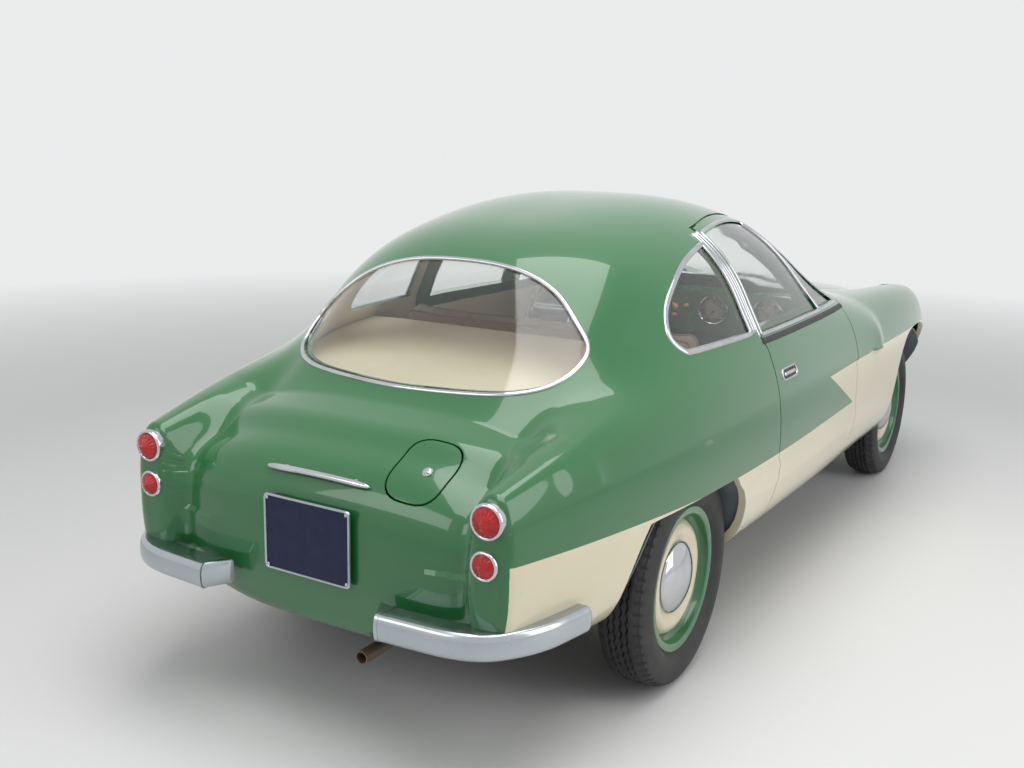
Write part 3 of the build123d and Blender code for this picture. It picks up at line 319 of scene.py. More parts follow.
# the tub between the wings, with the bonnet and the tail deck as its top
tub_half_width = curve((-2, 0.4), (-1.6, 0.49), (-1, 0.56), (-0.2, 0.59), (0.6, 0.595), (1, 0.59),
                       (1.3, 0.56), (1.6, 0.52), (1.93, 0.485))
bonnet_height = curve((-2, 0.76), (-1.7, 0.8), (-1.3, 0.845), (-0.9, 0.885), (-0.55, 0.93), (0, 0.96))
deck_height = curve((1, 1), (1.3, 0.93), (1.5, 0.855), (1.7, 0.775), (1.85, 0.705), (1.95, 0.64))
# the cabin bubble
roof_height = curve((-0.62, 0.8), (-0.4, 0.97), (-0.2, 1.12), (0, 1.235), (0.2, 1.29), (0.45, 1.312),
                    (0.7, 1.3), (0.95, 1.262), (1.2, 1.18), (1.35, 1.07), (1.45, 0.96), (1.55, 0.83))
cabin_half_width = curve((-0.6, 0.6), (-0.2, 0.635), (0.2, 0.65), (0.6, 0.648), (0.9, 0.62), (1.2, 0.56),
                         (1.45, 0.47), (1.7, 0.36))
# the wing pontoons, which run the whole length outside the tub
wing_outer = curve((-2, 0.585), (-1.8, 0.66), (-1.55, 0.712), (-1.2, 0.735), (-0.6, 0.735), (0, 0.735),
                   (0.5, 0.732), (0.9, 0.718), (1.2, 0.698), (1.5, 0.662), (1.75, 0.62), (1.93, 0.58))
wing_inner = curve((-2, 0.4), (-1.6, 0.42), (-1.2, 0.4), (-0.6, 0.3), (0, 0.25), (0.8, 0.25), (1.2, 0.33),
                   (1.5, 0.4), (1.75, 0.445), (1.93, 0.468))
wing_top = curve((-2, 0.7), (-1.85, 0.775), (-1.6, 0.835), (-1.3, 0.858), (-0.9, 0.875), (-0.4, 0.9),
                 (0.2, 0.91), (0.7, 0.905), (1.1, 0.885), (1.4, 0.85), (1.7, 0.79), (1.93, 0.735))
wing_bottom = curve((-2, 0.36), (-1.7, 0.31), (-1.3, 0.275), (1.2, 0.275), (1.6, 0.3), (1.93, 0.36))
valley_blend = curve((-2, 0.05), (-1.4, 0.06), (-0.8, 0.09), (0.8, 0.1), (1.2, 0.09), (1.5, 0.06),
                     (1.75, 0.05), (1.95, 0.045))

print("roof height over the seats", round(float(roof_height(0.45)), 3))

# %% [markdown]
# Each body section is a rounded square: with power 2 it would be an ellipse, and with a higher
# power its corners fill out. Two shapes are joined with a soft valley, or trimmed with a rounded
# edge, in the way that clay is blended with a thumb.

# %% The body formula
TUB_POWER, CABIN_POWER, WING_POWER = 3.2, 2.9, 2.6
TUB_MIDDLE, TUB_BOTTOM, CABIN_MIDDLE, WING_MIDDLE = 0.520, 0.262, 0.700, 0.560
BELT, TUMBLEHOME = 0.905, 0.10
TAIL_END, WING_END, NOSE_END = 1.905, 1.932, -1.950


def rounded(u, v, power):
    return (np.abs(u) ** power + np.abs(v) ** power + 1e-12) ** (1 / power)


def blended(a, b, soft):
    overlap = np.maximum(soft - np.abs(a - b), 0) / soft
    return np.minimum(a, b) - overlap ** 2 * soft / 4


def trimmed(a, b, soft):
    return -blended(-a, -b, soft)


def body_reach(x, y, z):
    x = np.abs(x)
    y = np.clip(y, -2.10, 2.05)
    behind = np.clip(y, 0, 1)
    behind = behind ** 2 * (3 - 2 * behind)
    top = bonnet_height(np.minimum(y, 0)) * (1 - behind) + deck_height(np.maximum(y, 1)) * behind
    wide = tub_half_width(y)
    tall = np.where(z > TUB_MIDDLE, top - TUB_MIDDLE, TUB_MIDDLE - TUB_BOTTOM)
    tub = (rounded(x / wide, (z - TUB_MIDDLE) / tall, TUB_POWER) - 1) * np.minimum(wide, tall)
    wide = cabin_half_width(y) - TUMBLEHOME * np.clip(z - BELT, 0, 0.5)
    tall = np.maximum(roof_height(np.clip(y, -0.8, 1.8)) - CABIN_MIDDLE, 0.05)
    cabin = (rounded(x / wide, (z - CABIN_MIDDLE) / tall, CABIN_POWER) - 1) * np.minimum(wide, tall)
    cabin = np.where(z < CABIN_MIDDLE, np.maximum(x - wide, CABIN_MIDDLE - 0.15 - z), cabin)
    cabin = trimmed(trimmed(cabin, -(y + 0.62), 0.05), y - 1.7, 0.05)
    outer, inner = wing_outer(y), wing_inner(y)
    tall = np.where(z > WING_MIDDLE, wing_top(y) - WING_MIDDLE, WING_MIDDLE - wing_bottom(y))
    half = (outer - inner) / 2
    wing = rounded((x - inner - half) / half, (z - WING_MIDDLE) / tall, WING_POWER) - 1
    wing = wing * np.minimum(half, tall)
    tuck = np.clip(0.45 - z, 0, 1) ** 2
    skin = blended(tub, cabin, 0.09)
    skin = trimmed(skin, y - (TAIL_END - tuck), 0.09)
    wing = trimmed(wing, y - (WING_END - tuck), 0.03)
    skin = blended(skin, wing, valley_blend(y))
    nose = -(y - NOSE_END) + 0.55 * x ** 2 + 0.8 * (z - 0.62) ** 2
    return trimmed(skin, nose, 0.18)


def skin_slope(points):
    """The direction straight out of the skin at each point."""
    x, y, z = points.T
    step = 0.0008
    slope = np.stack([body_reach(x + step, y, z) - body_reach(x - step, y, z),
                      body_reach(x, y + step, z) - body_reach(x, y - step, z),
                      body_reach(x, y, z + step) - body_reach(x, y, z - step)], 1)
    return slope / np.maximum(np.linalg.norm(slope, axis=1, keepdims=True), 1e-9)


def halved(low, high, is_inside, rounds=40):
    """The place between low and high where the inside ends, by cutting the gap in half again."""
    for _ in range(rounds):
        middle = (low + high) / 2
        inside = is_inside(middle)
        low, high = np.where(inside, middle, low), np.where(inside, high, middle)
    return low


def skin_height(x, y):
    return float(halved(0.5, 1.5, lambda z: body_reach(x, y, z) < 0))


def skin_width(y, z, inset=0.0, rounds=40):
    return float(halved(0.0, 0.9, lambda x: body_reach(x, y, z) < -inset, rounds))


print("reach at the driver's seat", round(float(body_reach(0.3, 0.3, 0.7)), 3))

# %% [markdown]
# ## Skins
# The skin is found with rays from a flat core plate inside the car: each ray is cut in half again
# and again until it ends on the zero of the formula. Cones of rays close the nose and the tail.
# Panels have thickness, so a second skin a little further in is made in the same way.

# %% Skins from rays
CORE_FRONT, CORE_REAR, CORE_HEIGHT, CORE_HALF, CORE_END_HALF = -1.63, 1.76, 0.60, 0.46, 0.35


def skin_grid(inset, along, cone, around):
    lean = np.concatenate([-np.linspace(pi / 2, 0, cone, endpoint=False), np.zeros(along),
                           np.linspace(0, pi / 2, cone + 1)[1:]])
    start = np.concatenate([np.full(cone, CORE_FRONT), np.linspace(CORE_FRONT, CORE_REAR, along),
                            np.full(cone, CORE_REAR)])
    grow = np.clip((start - CORE_FRONT) / 1.0, 0, 1)
    narrow = np.clip(lean / (pi / 2) * 2 - 1, 0, 1) * (CORE_HALF - CORE_END_HALF)
    wide = (CORE_HALF * grow ** 2 * (3 - 2 * grow) - narrow)[:, None]
    share = np.linspace(0, 1, around)
    flat = np.clip(wide / CORE_HALF, 0, 1)
    turn = pi * (share * (1 - flat) + np.clip((share - 0.3) / 0.4, 0, 1) * flat)
    lean = lean[:, None]
    way = np.stack([np.cos(lean) * np.sin(turn), np.sin(lean) + 0 * turn, np.cos(lean) * np.cos(turn)], 2)
    origin = np.zeros_like(way)
    origin[..., 0] = wide * np.clip(np.minimum(share, 1 - share) / 0.3, 0, 1)
    origin[..., 1], origin[..., 2] = start[:, None], CORE_HEIGHT

    def reach_at(r):
        spot = origin + way * r[..., None]
        return body_reach(spot[..., 0], spot[..., 1], spot[..., 2])
    size = way.shape[:2]
    near = halved(np.full(size, 0.02), np.full(size, 1.4), lambda r: reach_at(r) < -inset, 34)
    grid = origin + way * near[..., None]
    grid[:, (0, -1), 0] = 0
    return grid


def closed_skin(inset, along=150, cone=52, around=150):
    """Points and faces of the whole body skin; the last rings close up into a line."""
    half = skin_grid(inset, along, cone, around)
    ring = np.concatenate([half, half[:, -2:0:-1] * (-1, 1, 1)], 1)
    rings, count = ring.shape[0], ring.shape[1]
    faces = []
    for i in range(rings - 1):
        a, b = i * count, (i + 1) * count
        faces += [(a + j, b + j, b + (j + 1) % count, a + (j + 1) % count) for j in range(count)]
    return ring.reshape(-1, 3), faces


def hollow_skin(name, depth_out, depth_in):
    """The space between two skins: a shell of even thickness."""
    outer, outer_faces = closed_skin(depth_out)
    inner, inner_faces = closed_skin(depth_in, 90, 30, 80)
    shift = len(outer)
    faces = outer_faces + [tuple(i + shift for i in face[::-1]) for face in inner_faces]
    made = piece_from(name, np.vstack([outer, inner]), faces)

    def finished(shape):
        welded(shape)
        if shape.calc_volume(signed=True) < 0:
            bmesh.ops.reverse_faces(shape, faces=shape.faces)
        print(name, "litres", round(shape.calc_volume() * 1000, 1), "open edges",
              sum(not edge.is_manifold for edge in shape.edges))
    return reworked(made, finished)


shell = hollow_skin("shell", 0.0, 0.018)

# %% [markdown]
# ## Cutting the panels
# Real panels are pressed one by one, but they only look right when the gaps between them are
# even. So the whole body is one shell, cut with prisms: what is inside the door's prism is the
# door, and a slightly larger prism makes the opening, which leaves an even gap.

# %% Prisms and cuts
def prism(points, axis, start, end):
    """A prism of a flat outline; axis says which way it runs."""
    places = {"x": lambda p, d: (d, p[0], p[1]), "y": lambda p, d: (p[0], d, p[1]),
              "z": lambda p, d: (p[0], p[1], d)}[axis]
    count = len(points)
    corners = [places(p, start) for p in points] + [places(p, end) for p in points]
    faces = [tuple(range(count)), tuple(range(2 * count - 1, count - 1, -1))] + grid_faces(2, count)
    return turned_outward(piece_from("prism", corners, faces, smooth=False))


def carve(piece, tool, operation="DIFFERENCE", keep=False):
    change = piece.modifiers.new("carve", "BOOLEAN")
    change.operation, change.solver, change.object = operation, "MANIFOLD", tool
    baked(piece)
    if not keep:
        bpy.data.objects.remove(tool)
    return piece


def side_prism(outline, side, near=0.33, far=0.95):
    return prism(outline, "x", side * near, side * far)


def piece_inside(source, name, tool):
    return carve(copied(source, name), tool, "INTERSECT")


def smooth_line(points, count=90):
    """A smooth curve through flat points, in even steps of its length."""
    points = np.array(points, float)
    length = np.concatenate([[0], np.cumsum(np.linalg.norm(np.diff(points, axis=0), axis=1))])
    columns = [curve(*zip(length, column)) for column in points.T]
    steps = np.linspace(0, length[-1], count)
    return np.stack([column(steps) for column in columns], 1)


def shifted(points, amount):
    """A chain of flat points moved to its left by amount, as an even border."""
    points = np.array(points, float)
    run = np.gradient(points, axis=0)
    run /= np.linalg.norm(run, axis=1, keepdims=True)
    return points + np.stack([-run[:, 1], run[:, 0]], 1) * amount


print("a carved prism is ready to use")

# %% [markdown]
# The door's top edge is the window frame, one sweeping line from the screen pillar over the
# roof. Below it the door is a plain upright panel. The outline is written once and grown or
# shrunk for the opening, the panel, the window and the glass.

# %% Outlines seen from the side
DOOR_FRONT, DOOR_REAR, DOOR_LOW, GAP = -0.304, 0.565, 0.288, 0.005
FRAME_LINE = [(-0.330, BELT), (-0.150, 1.048), (0.0, 1.184), (0.225, 1.243), (0.430, 1.246),
              (0.612, 1.226)]


def frame_line(grow):
    return shifted(smooth_line(FRAME_LINE, 60), grow)


def below_frame(grow):
    line = [tuple(p) for p in frame_line(grow)]
    back = DOOR_REAR + 0.150
    return line + [(back, line[-1][1] - 0.005), (back, 0.20), (line[0][0], 0.20)]


def door_prism(side, grow=0.0, room=0.0):
    front, rear = DOOR_FRONT - grow, DOOR_REAR + grow
    edges = [(front, 0.24), (front, BELT - 0.022), (-0.334 - grow, BELT), (-0.334 - grow, 1.4),
             (rear + 0.058 + room, 1.4), (rear + 0.025 + room / 2, BELT + 0.019), (rear, 0.87),
             (rear, 0.24)]
    return carve(side_prism(below_frame(grow), side), side_prism(edges, side, far=0.96), "INTERSECT")


def door_window_prism(side, inset=0.020):
    edges = [(-0.4, BELT - 0.003 + inset), (DOOR_REAR + 0.025 - inset, BELT - 0.003 + inset),
             (DOOR_REAR + 0.054 - inset, 1.4), (-0.4, 1.4)]
    return carve(side_prism(below_frame(-inset), side), side_prism(edges, side, 0.32, 0.96), "INTERSECT")


QUARTER_TOP = [(0.659, 1.186), (0.760, 1.165), (0.860, 1.134), (0.972, 1.080), (1.056, 1.010),
               (1.072, 0.960), (1.034, 0.925)]


quarter_outline = [tuple(p) for p in smooth_line(QUARTER_TOP, 60)] + [(0.645, 0.927)]
vent_bar = [(-0.038, BELT), (-0.022, BELT), (0.160, 1.26), (0.144, 1.26)]
print("door is", round(DOOR_REAR - DOOR_FRONT, 3), "m long")

# %% [markdown]
# The windscreen and the rear window are seen along the car, so their outlines are drawn across
# it. Only the right half is listed, and the left half is its mirror image.

# %% Outlines seen along the car
REAR_WINDOW = [(0, 1.150), (0.190, 1.135), (0.320, 1.086), (0.408, 1.010), (0.446, 0.946), (0.425, 0.900),
               (0.365, 0.873), (0.235, 0.859), (0, 0.851)]
WINDSCREEN = [(0, 1.196), (0.250, 1.190), (0.430, 1.130), (0.510, 1.020), (0.535, 0.960), (0.500, 0.935),
              (0.260, 0.947), (0, 0.952)]


def pane_outline(points, grow):
    wrap = [(-a, b) for a, b in points[2:0:-1]] + points + [(-a, b) for a, b in points[-2:-4:-1]]
    line = shifted(smooth_line(wrap, 260), grow)
    right = [tuple(p) for p in line if p[0] >= 0]
    return right + [(-a, b) for a, b in right[::-1]]


def rear_window_prism():
    return prism(pane_outline(REAR_WINDOW, 0.0), "y", 0.9, 2.2)


def arch_prism(front, side):
    turn = np.linspace(0, pi, 61)
    if front:
        power = 2 / 2.6
        across = -1.31 + np.sign(np.cos(turn)) * np.abs(np.cos(turn)) ** power * 0.39
        up = 0.30 + np.sin(turn) ** power * 0.40
    else:
        across = 1.145 + np.cos(turn) * 0.355
        up = 0.30 + np.minimum(np.sin(turn) * 0.355, 0.253)
    outline = list(zip(across, up)) + [(across[-1], 0.2), (across[0], 0.2)]
    return side_prism(outline, side, 0.42)


def round_corners(corners, radius, steps=8):
    """A closed outline with each corner replaced by a small curve."""
    outline = []
    for i, corner in enumerate(corners):
        here = np.array(corner, float)
        before = np.array(corners[i - 1], float) - here
        after = np.array(corners[(i + 1) % len(corners)], float) - here
        first = here + before / np.linalg.norm(before) * radius
        last = here + after / np.linalg.norm(after) * radius
        for t in np.linspace(0, 1, steps):
            outline.append(tuple(first * (1 - t) ** 2 + here * 2 * t * (1 - t) + last * t ** 2))
    return outline


def bonnet_prism(grow):
    rear, front = 0.390 + grow, 0.330 + grow
    corners = [(-front, -1.790 - grow), (front, -1.790 - grow), (rear, -0.680 + grow),
               (-rear, -0.680 + grow)]
    return prism(round_corners(corners, 0.045 + grow), "z", 0.64, 1.04)


def flap_frame():
    """The fuel flap's own axes: across, down the slope, and out of the skin."""
    x, y = -0.262, 1.800
    out = Vector((0, 0.55, 0.83)).normalized()
    across = Vector((1, 0, 0))
    return Matrix.Translation((x, y, skin_height(x, y))) @ Matrix((
        across, out.cross(across), out)).transposed().to_4x4()


def flap_prism(grow):
    wide, long = 0.072 + grow, 0.095 + grow
    outline = round_corners([(-wide, -long), (wide, -long), (wide, long), (-wide, long)], 0.060 + grow)
    made = prism(outline, "z", -0.06, 0.06)
    made.data.transform(flap_frame())
    return made


print("fuel flap height", round(flap_frame().translation.z, 3))

# %% [markdown]
# ## The painted panels
# First the bottom is cut away, then every opening, and last the shell is split into the front
# body and the cabin with the tail. The bonnet and the fuel flap come from the same shell, so
# they lie exactly flush. The doors are thicker, because a real door is a deep box.

# %% Openings in the shell
def box_tool(x0, x1, y0, y1, z0, z1):
    return prism([(x0, y0), (x1, y0), (x1, y1), (x0, y1)], "z", z0, z1)


def belly_tool():
    right = [(skin_width(y, 0.4) - 0.075, y) for y in (-1.65, -1.3, -0.6, 0.5, 1.1, 1.5, 1.74)]
    return prism(right + [(-x, y) for x, y in right[::-1]], "z", 0.1, 0.47)


def screen_prism():
    tool = prism(pane_outline(WINDSCREEN, 0.0), "y", -0.06, -0.96)
    for side in (1, -1):
        carve(tool, side_prism(below_frame(0.042), side, 0.25, 0.9))
    return tool


def oval(half_wide, half_tall, steps, x=0.0, y=0.0):
    turn = np.linspace(0, 2 * pi, steps, endpoint=False)
    return [(x + half_wide * cos(t), y + half_tall * sin(t)) for t in turn]


def grille_outline(gap):
    wide, tall = 0.28 - gap, 0.085 - gap
    turn = np.linspace(0, 2 * pi, 60, endpoint=False)
    flat = wide - tall
    return [(flat * np.sign(cos(t)) + tall * cos(t), 0.5 + tall * sin(t)) for t in turn]


LAMPS = {"upper_tail": (0.524, 0.684, 0.040, 1), "lower_tail": (0.520, 0.582, 0.033, 1),
         "head": (0.535, 0.655, 0.088, -1)}


def lamp_tool(x, z, radius, end):
    return prism(oval(radius, radius, 48, x, z), "y", end * 1.6, end * 2.1)


door_shell = hollow_skin("door_shell", 0.0, 0.048)
panels = {}
for name, side in SIDES.items():
    door = piece_inside(door_shell, f"door_panel_{name}", door_prism(side))
    carve(door, box_tool(*sorted((side * 0.60, side * 0.3)), -0.6, 0.9, 0.2, BELT))
    carve(door, box_tool(-0.9, 0.9, -0.6, 0.9, 0.2, DOOR_LOW))
    window = door_window_prism(side)
    carve(window, side_prism(vent_bar, side, 0.3, 0.97))
    carve(door, window)
    panels[f"door_{name}"] = door
panels["bonnet"] = piece_inside(shell, "bonnet_panel", bonnet_prism(0.0))
panels["fuel_flap"] = piece_inside(shell, "fuel_flap_panel", flap_prism(0.0))

carve(shell, box_tool(-1, 1, -2.5, 2.5, 0.1, DOOR_LOW))
carve(shell, belly_tool())
for side in (1, -1):
    carve(shell, door_prism(side, GAP, 0.012))
    carve(shell, side_prism(quarter_outline, side))
    carve(shell, arch_prism(True, side))
    carve(shell, arch_prism(False, side))
    for x, z, radius, end in LAMPS.values():
        carve(shell, lamp_tool(side * x, z, radius, end))
carve(shell, rear_window_prism())
carve(shell, screen_prism())
carve(shell, prism(grille_outline(0.0), "y", -1.6, -2.1))
carve(shell, bonnet_prism(GAP))
carve(shell, flap_prism(GAP))
ahead = box_tool(-1, 1, -2.5, DOOR_FRONT - GAP, 0, 1.5)
carve(ahead, box_tool(-1.1, 1.1, -0.54, 0.1, BELT, 1.6))
front = carve(copied(shell, "front_panel"), ahead, "INTERSECT", keep=True)
carve(shell, ahead)
shell.name = "cabin_panel"
panels.update(front_body=front, cabin_body=shell)
print({name: len(piece.data.polygons) for name, piece in panels.items()})

# %% [markdown]
# A cut leaves long thin triangles, which would spoil the shine. The formula knows the exact
# slope of the skin, so every corner of a face that lies along the skin takes its shading
# direction from there. Faces across the cut keep their own flat direction.

# %% Exact shading
def shade_like_skin(piece):
    mesh = piece.data
    mesh.shade_smooth()
    count = len(mesh.loops)
    spots = np.empty(len(mesh.vertices) * 3)
    mesh.vertices.foreach_get("co", spots)
    slope = skin_slope(spots.reshape(-1, 3))
    corner = np.empty(count, int)
    mesh.loops.foreach_get("vertex_index", corner)
    flat = np.empty(len(mesh.polygons) * 3)
    mesh.polygons.foreach_get("normal", flat)
    sizes = np.empty(len(mesh.polygons), int)
    mesh.polygons.foreach_get("loop_total", sizes)
    face = np.repeat(flat.reshape(-1, 3), sizes, axis=0)
    along = np.einsum("ij,ij->i", face, slope[corner])
    way = np.where(np.abs(along)[:, None] > 0.86, slope[corner] * np.sign(along)[:, None], face)
    mesh.normals_split_custom_set(way.tolist())
    return piece


riding = {"door_left": "door_left", "door_right": "door_right", "bonnet": "bonnet",
          "fuel_flap": "fuel_flap", "front_body": "body", "cabin_body": "body"}
for name, piece in panels.items():
    shade_like_skin(piece)
    fasten(piece, body_paint, riding[name], "green_paint", name)
bpy.data.objects.remove(door_shell)
print("painted panels", len(panels))

# %% [markdown]
# ## Window glass
# Curved glass follows the body, a little below the paint. It could be a flat sheet bent by hand,
# but a second pair of skins from the same formula, cut with the same prisms as the openings,
# gives panes that fit their holes all round.

# %% Panes of glass
clear_glass = finish_named("clear_glass", (0.985, 1.0, 0.99), 0.02, Transmission_Weight=1.0, IOR=1.45,
                           shine=(7.0, 0.45, 0.8, 0.01, 0.07), grain=(3.0, 0.04, 0.002, 1.0))
glass_shell = hollow_skin("glass_shell", 0.004, 0.009)
panes = {}
for name, side in SIDES.items():
    pane = piece_inside(glass_shell, f"door_glass_{name}_pane", door_window_prism(side))
    panes[f"door_glass_{name}"] = (pane, f"door_{name}")
quarters = [piece_inside(glass_shell, "quarter", side_prism(quarter_outline, side)) for side in (1, -1)]
panes["quarter_windows"] = (joined("quarter_window_panes", quarters), "body")
panes["rear_window"] = (piece_inside(glass_shell, "rear_window_pane", rear_window_prism()), "body")
panes["windscreen"] = (piece_inside(glass_shell, "windscreen_pane", screen_prism()), "body")
for stands_for, (pane, body) in panes.items():
    shade_like_skin(pane)
    fasten(pane, clear_glass, body, "glass", stands_for)
bpy.data.objects.remove(glass_shell)
print("panes", {name: len(pane.data.polygons) for name, (pane, _) in panes.items()})

# %% [markdown]
# ## Bright strips round the windows
# Every window has a polished frame. A strip is swept along a line that lies on the skin: at each
# point the strip stands straight out of the skin, so its shine runs evenly round the corners.
# Its section is a low arch, which catches one long bright line.

# %% Bright metal and swept strips
chrome = finish_named("chrome", (0.58, 0.59, 0.61), 0.08, 1.0, tones=((0.60, 0.61, 0.63), (0.50, 0.51, 0.54)),
                      patches=(11.0, 0.35, 0.7, 1.0), shine=(40.0, 0.3, 0.8, 0.05, 0.16),
                      grain=(90.0, 0.03, 0.0005, 2.0))
aluminium = finish_named("polished_aluminium", (0.46, 0.50, 0.53), 0.2, 1.0,
                         tones=((0.48, 0.52, 0.55), (0.38, 0.42, 0.45)), patches=(4.0, 0.35, 0.7, 0.5),
                         shine=(26.0, 0.3, 0.75, 0.14, 0.30, 6.0), grain=(320.0, 0.05, 0.0004, 2.0))
dark_rubber = finish_named("dark_rubber", (0.035, 0.036, 0.038), 0.6, shine=(60.0, 0.3, 0.8, 0.5, 0.75),
                           grain=(400.0, 0.1, 0.0004))


def onto_skin(points, axis, inside, outside):
    """Flat points moved along one axis from inside the car until they lie on the skin."""
    points = np.array(points, float)
    ends = (np.full(len(points), float(end)) for end in (inside, outside))

    def placed(depth):
        columns = [points[:, 0], points[:, 1]]
        columns.insert("xyz".index(axis), depth)
        return np.stack(columns, 1)
    return placed(halved(*ends, lambda depth: body_reach(*placed(depth).T) < 0, 34))


def even_steps(points, step, closed=False):
    points = np.array(points, float)
    if closed:
        points = np.vstack([points, points[:1]])
    length = np.concatenate([[0], np.cumsum(np.linalg.norm(np.diff(points, axis=0), axis=1))])
    count = max(int(length[-1] / step), 3)
    at = np.linspace(0, length[-1], count, endpoint=not closed)
    return np.stack([np.interp(at, length, column) for column in points.T], 1)


def swept(name, path, outward, section, closed=False, taper=0.0):
    """A bar along path; section holds (sideways, outward) points; taper rounds off both ends."""
    path = np.array(path, float)
    run = np.roll(path, -1, 0) - np.roll(path, 1, 0) if closed else np.gradient(path, axis=0)
    run /= np.maximum(np.linalg.norm(run, axis=1, keepdims=True), 1e-9)
    side = np.cross(outward, run)
    side /= np.maximum(np.linalg.norm(side, axis=1, keepdims=True), 1e-9)
    up = np.cross(run, side)
    section = np.array(section, float)
    size = np.ones(len(path))
    if taper and not closed:
        far = np.concatenate([[0], np.cumsum(np.linalg.norm(np.diff(path, axis=0), axis=1))])
        end = np.minimum(far, far[-1] - far)
        size = np.sqrt(1 - (1 - np.clip(end / taper, 0, 1)) ** 2) * 0.98 + 0.02
    points = (path[:, None] + side[:, None] * section[None, :, :1] * size[:, None, None]
              + up[:, None] * section[None, :, 1:] * size[:, None, None])
    count, wide = len(path), len(section)
    faces = grid_faces(count, wide, wrap=closed)
    if not closed:
        faces += [tuple(range(wide))[::-1], tuple(range((count - 1) * wide, count * wide))]
    return turned_outward(piece_from(name, points.reshape(-1, 3), faces))


def arch_section(width, height, sink=0.004):
    turn = np.linspace(0, pi, 9)
    return ([(width / 2, -sink)] + [(width / 2 * cos(t), height * sin(t)) for t in turn]
            + [(-width / 2, -sink)])


def skin_strip(name, line, width, height, closed=False, sink=0.004):
    line = even_steps(line, 0.012, closed)
    return swept(name, line, skin_slope(line), arch_section(width, height, sink), closed)


print("an arch section has", len(arch_section(0.01, 0.004)), "points")

# %% [markdown]
# The same strip goes round the rear window, the windscreen, the quarter windows and each door
# window. The doors also get a vent post and a dark rail, and the pillar behind each door has two
# upright strips. What belongs to a door rides on it, so it swings with the door.

# %% Frames round the windows
def mirror_points(points):
    return np.array(points) * (-1, 1, 1)


rear_line = onto_skin(pane_outline(REAR_WINDOW, 0.004), "y", 0.9, 2.1)
screen_line = onto_skin(pane_outline(WINDSCREEN, 0.004), "y", 0.1, -2.0)
screen_line = screen_line[np.abs(screen_line[:, 0]) < 0.60]
frames = [skin_strip("rear_frame", rear_line, 0.013, 0.005, True),
          skin_strip("screen_frame", screen_line, 0.014, 0.005, True)]
quarter_line = even_steps(quarter_outline, 0.01, True)
for side in (1, -1):
    line = onto_skin(quarter_line, "x", 0.3, 0.9)
    frames.append(skin_strip("quarter_frame", line if side > 0 else mirror_points(line), 0.017, 0.005, True))
fasten(joined("window_frames", frames), chrome, "body", "chrome")


def window_outline(inset):
    """The opening in the door: the frame line above, the rail below and the lock pillar behind."""
    line = below_frame(-inset)[:-3]
    low = BELT - 0.003 + inset
    top = [p for p in line if p[1] > low and p[0] < DOOR_REAR + 0.054 - inset - (1.4 - p[1]) * 0.06]
    rear_top = (DOOR_REAR + 0.044 - inset, top[-1][1])
    return top + [rear_top, (DOOR_REAR + 0.025 - inset, low), (top[0][0] - 0.02, low)]


for name, side in SIDES.items():
    def on_side(points):
        line = onto_skin(points, "x", 0.3, 0.9)
        return line if side > 0 else mirror_points(line)
    edge = even_steps(window_outline(0.014), 0.01, True)
    bright = [skin_strip("door_frame", on_side(edge), 0.013, 0.004, True)]
    bar = even_steps([(-0.030, BELT + 0.012), (0.148, 1.215)], 0.01)
    bright.append(skin_strip("vent_post", on_side(bar), 0.016, 0.005, sink=0.012))
    post = even_steps([(DOOR_REAR + 0.031, BELT + 0.005), (DOOR_REAR + 0.052, 1.218)], 0.01)
    bright.append(skin_strip("lock_post", on_side(post + (0.002, 0)), 0.011, 0.004))
    fasten(joined(f"door_window_frame_{name}", bright), chrome, f"door_{name}", "chrome")
    rail = even_steps([(-0.325, BELT - 0.008), (DOOR_REAR + 0.022, BELT - 0.008)], 0.01)
    rail = swept(f"door_rail_{name}", on_side(rail), skin_slope(on_side(rail)), arch_section(0.020, 0.003))
    fasten(rail, dark_rubber, f"door_{name}", "dark_paint")
    posts = [even_steps([(DOOR_REAR + low, BELT + 0.022), (DOOR_REAR + high, 1.214)], 0.01)
             for low, high in ((0.047, 0.076), (0.062, 0.090))]
    posts = joined(f"pillar_strips_{name}", [skin_strip("post", on_side(p), 0.010, 0.005) for p in posts])
    fasten(posts, chrome, "body", "chrome")

# %% [markdown]
# ## Wheels
# A pressed steel wheel is a stepped rim with a dished disc welded inside, and a domed cap over
# its hub. All three are round, so each is one outline turned about the axle. The outline lists
# distance along the axle and radius. One left wheel is made and then copied to four places.

# %% Turned pieces
def turned(name, outline, steps=96, closed=True):
    """An outline of (along, radius) points turned about the X axis."""
    turn = np.linspace(0, 2 * pi, steps, endpoint=False)
    outline = np.array(outline, float)
    ring = np.stack([np.broadcast_to(outline[:, 0, None], (len(outline), steps)),
                     outline[:, 1:] * np.cos(turn), outline[:, 1:] * np.sin(turn)], 2)
    faces = grid_faces(len(outline), steps, wrap=closed)
    return turned_outward(reworked(piece_from(name, ring.reshape(-1, 3), faces), welded))


def creased(piece, angle=35):
    """Smooth shading that keeps edges sharper than the angle."""
    def crease(shape):
        for edge in shape.edges:
            if edge.is_manifold and edge.calc_face_angle(0) > radians(angle):
                edge.smooth = False
    piece.data.shade_smooth()
    return reworked(piece, crease)


def moved(piece, place, turn=None):
    piece.data.transform(Matrix.Translation(place) @ (turn or Matrix.Identity(4)))
    return piece


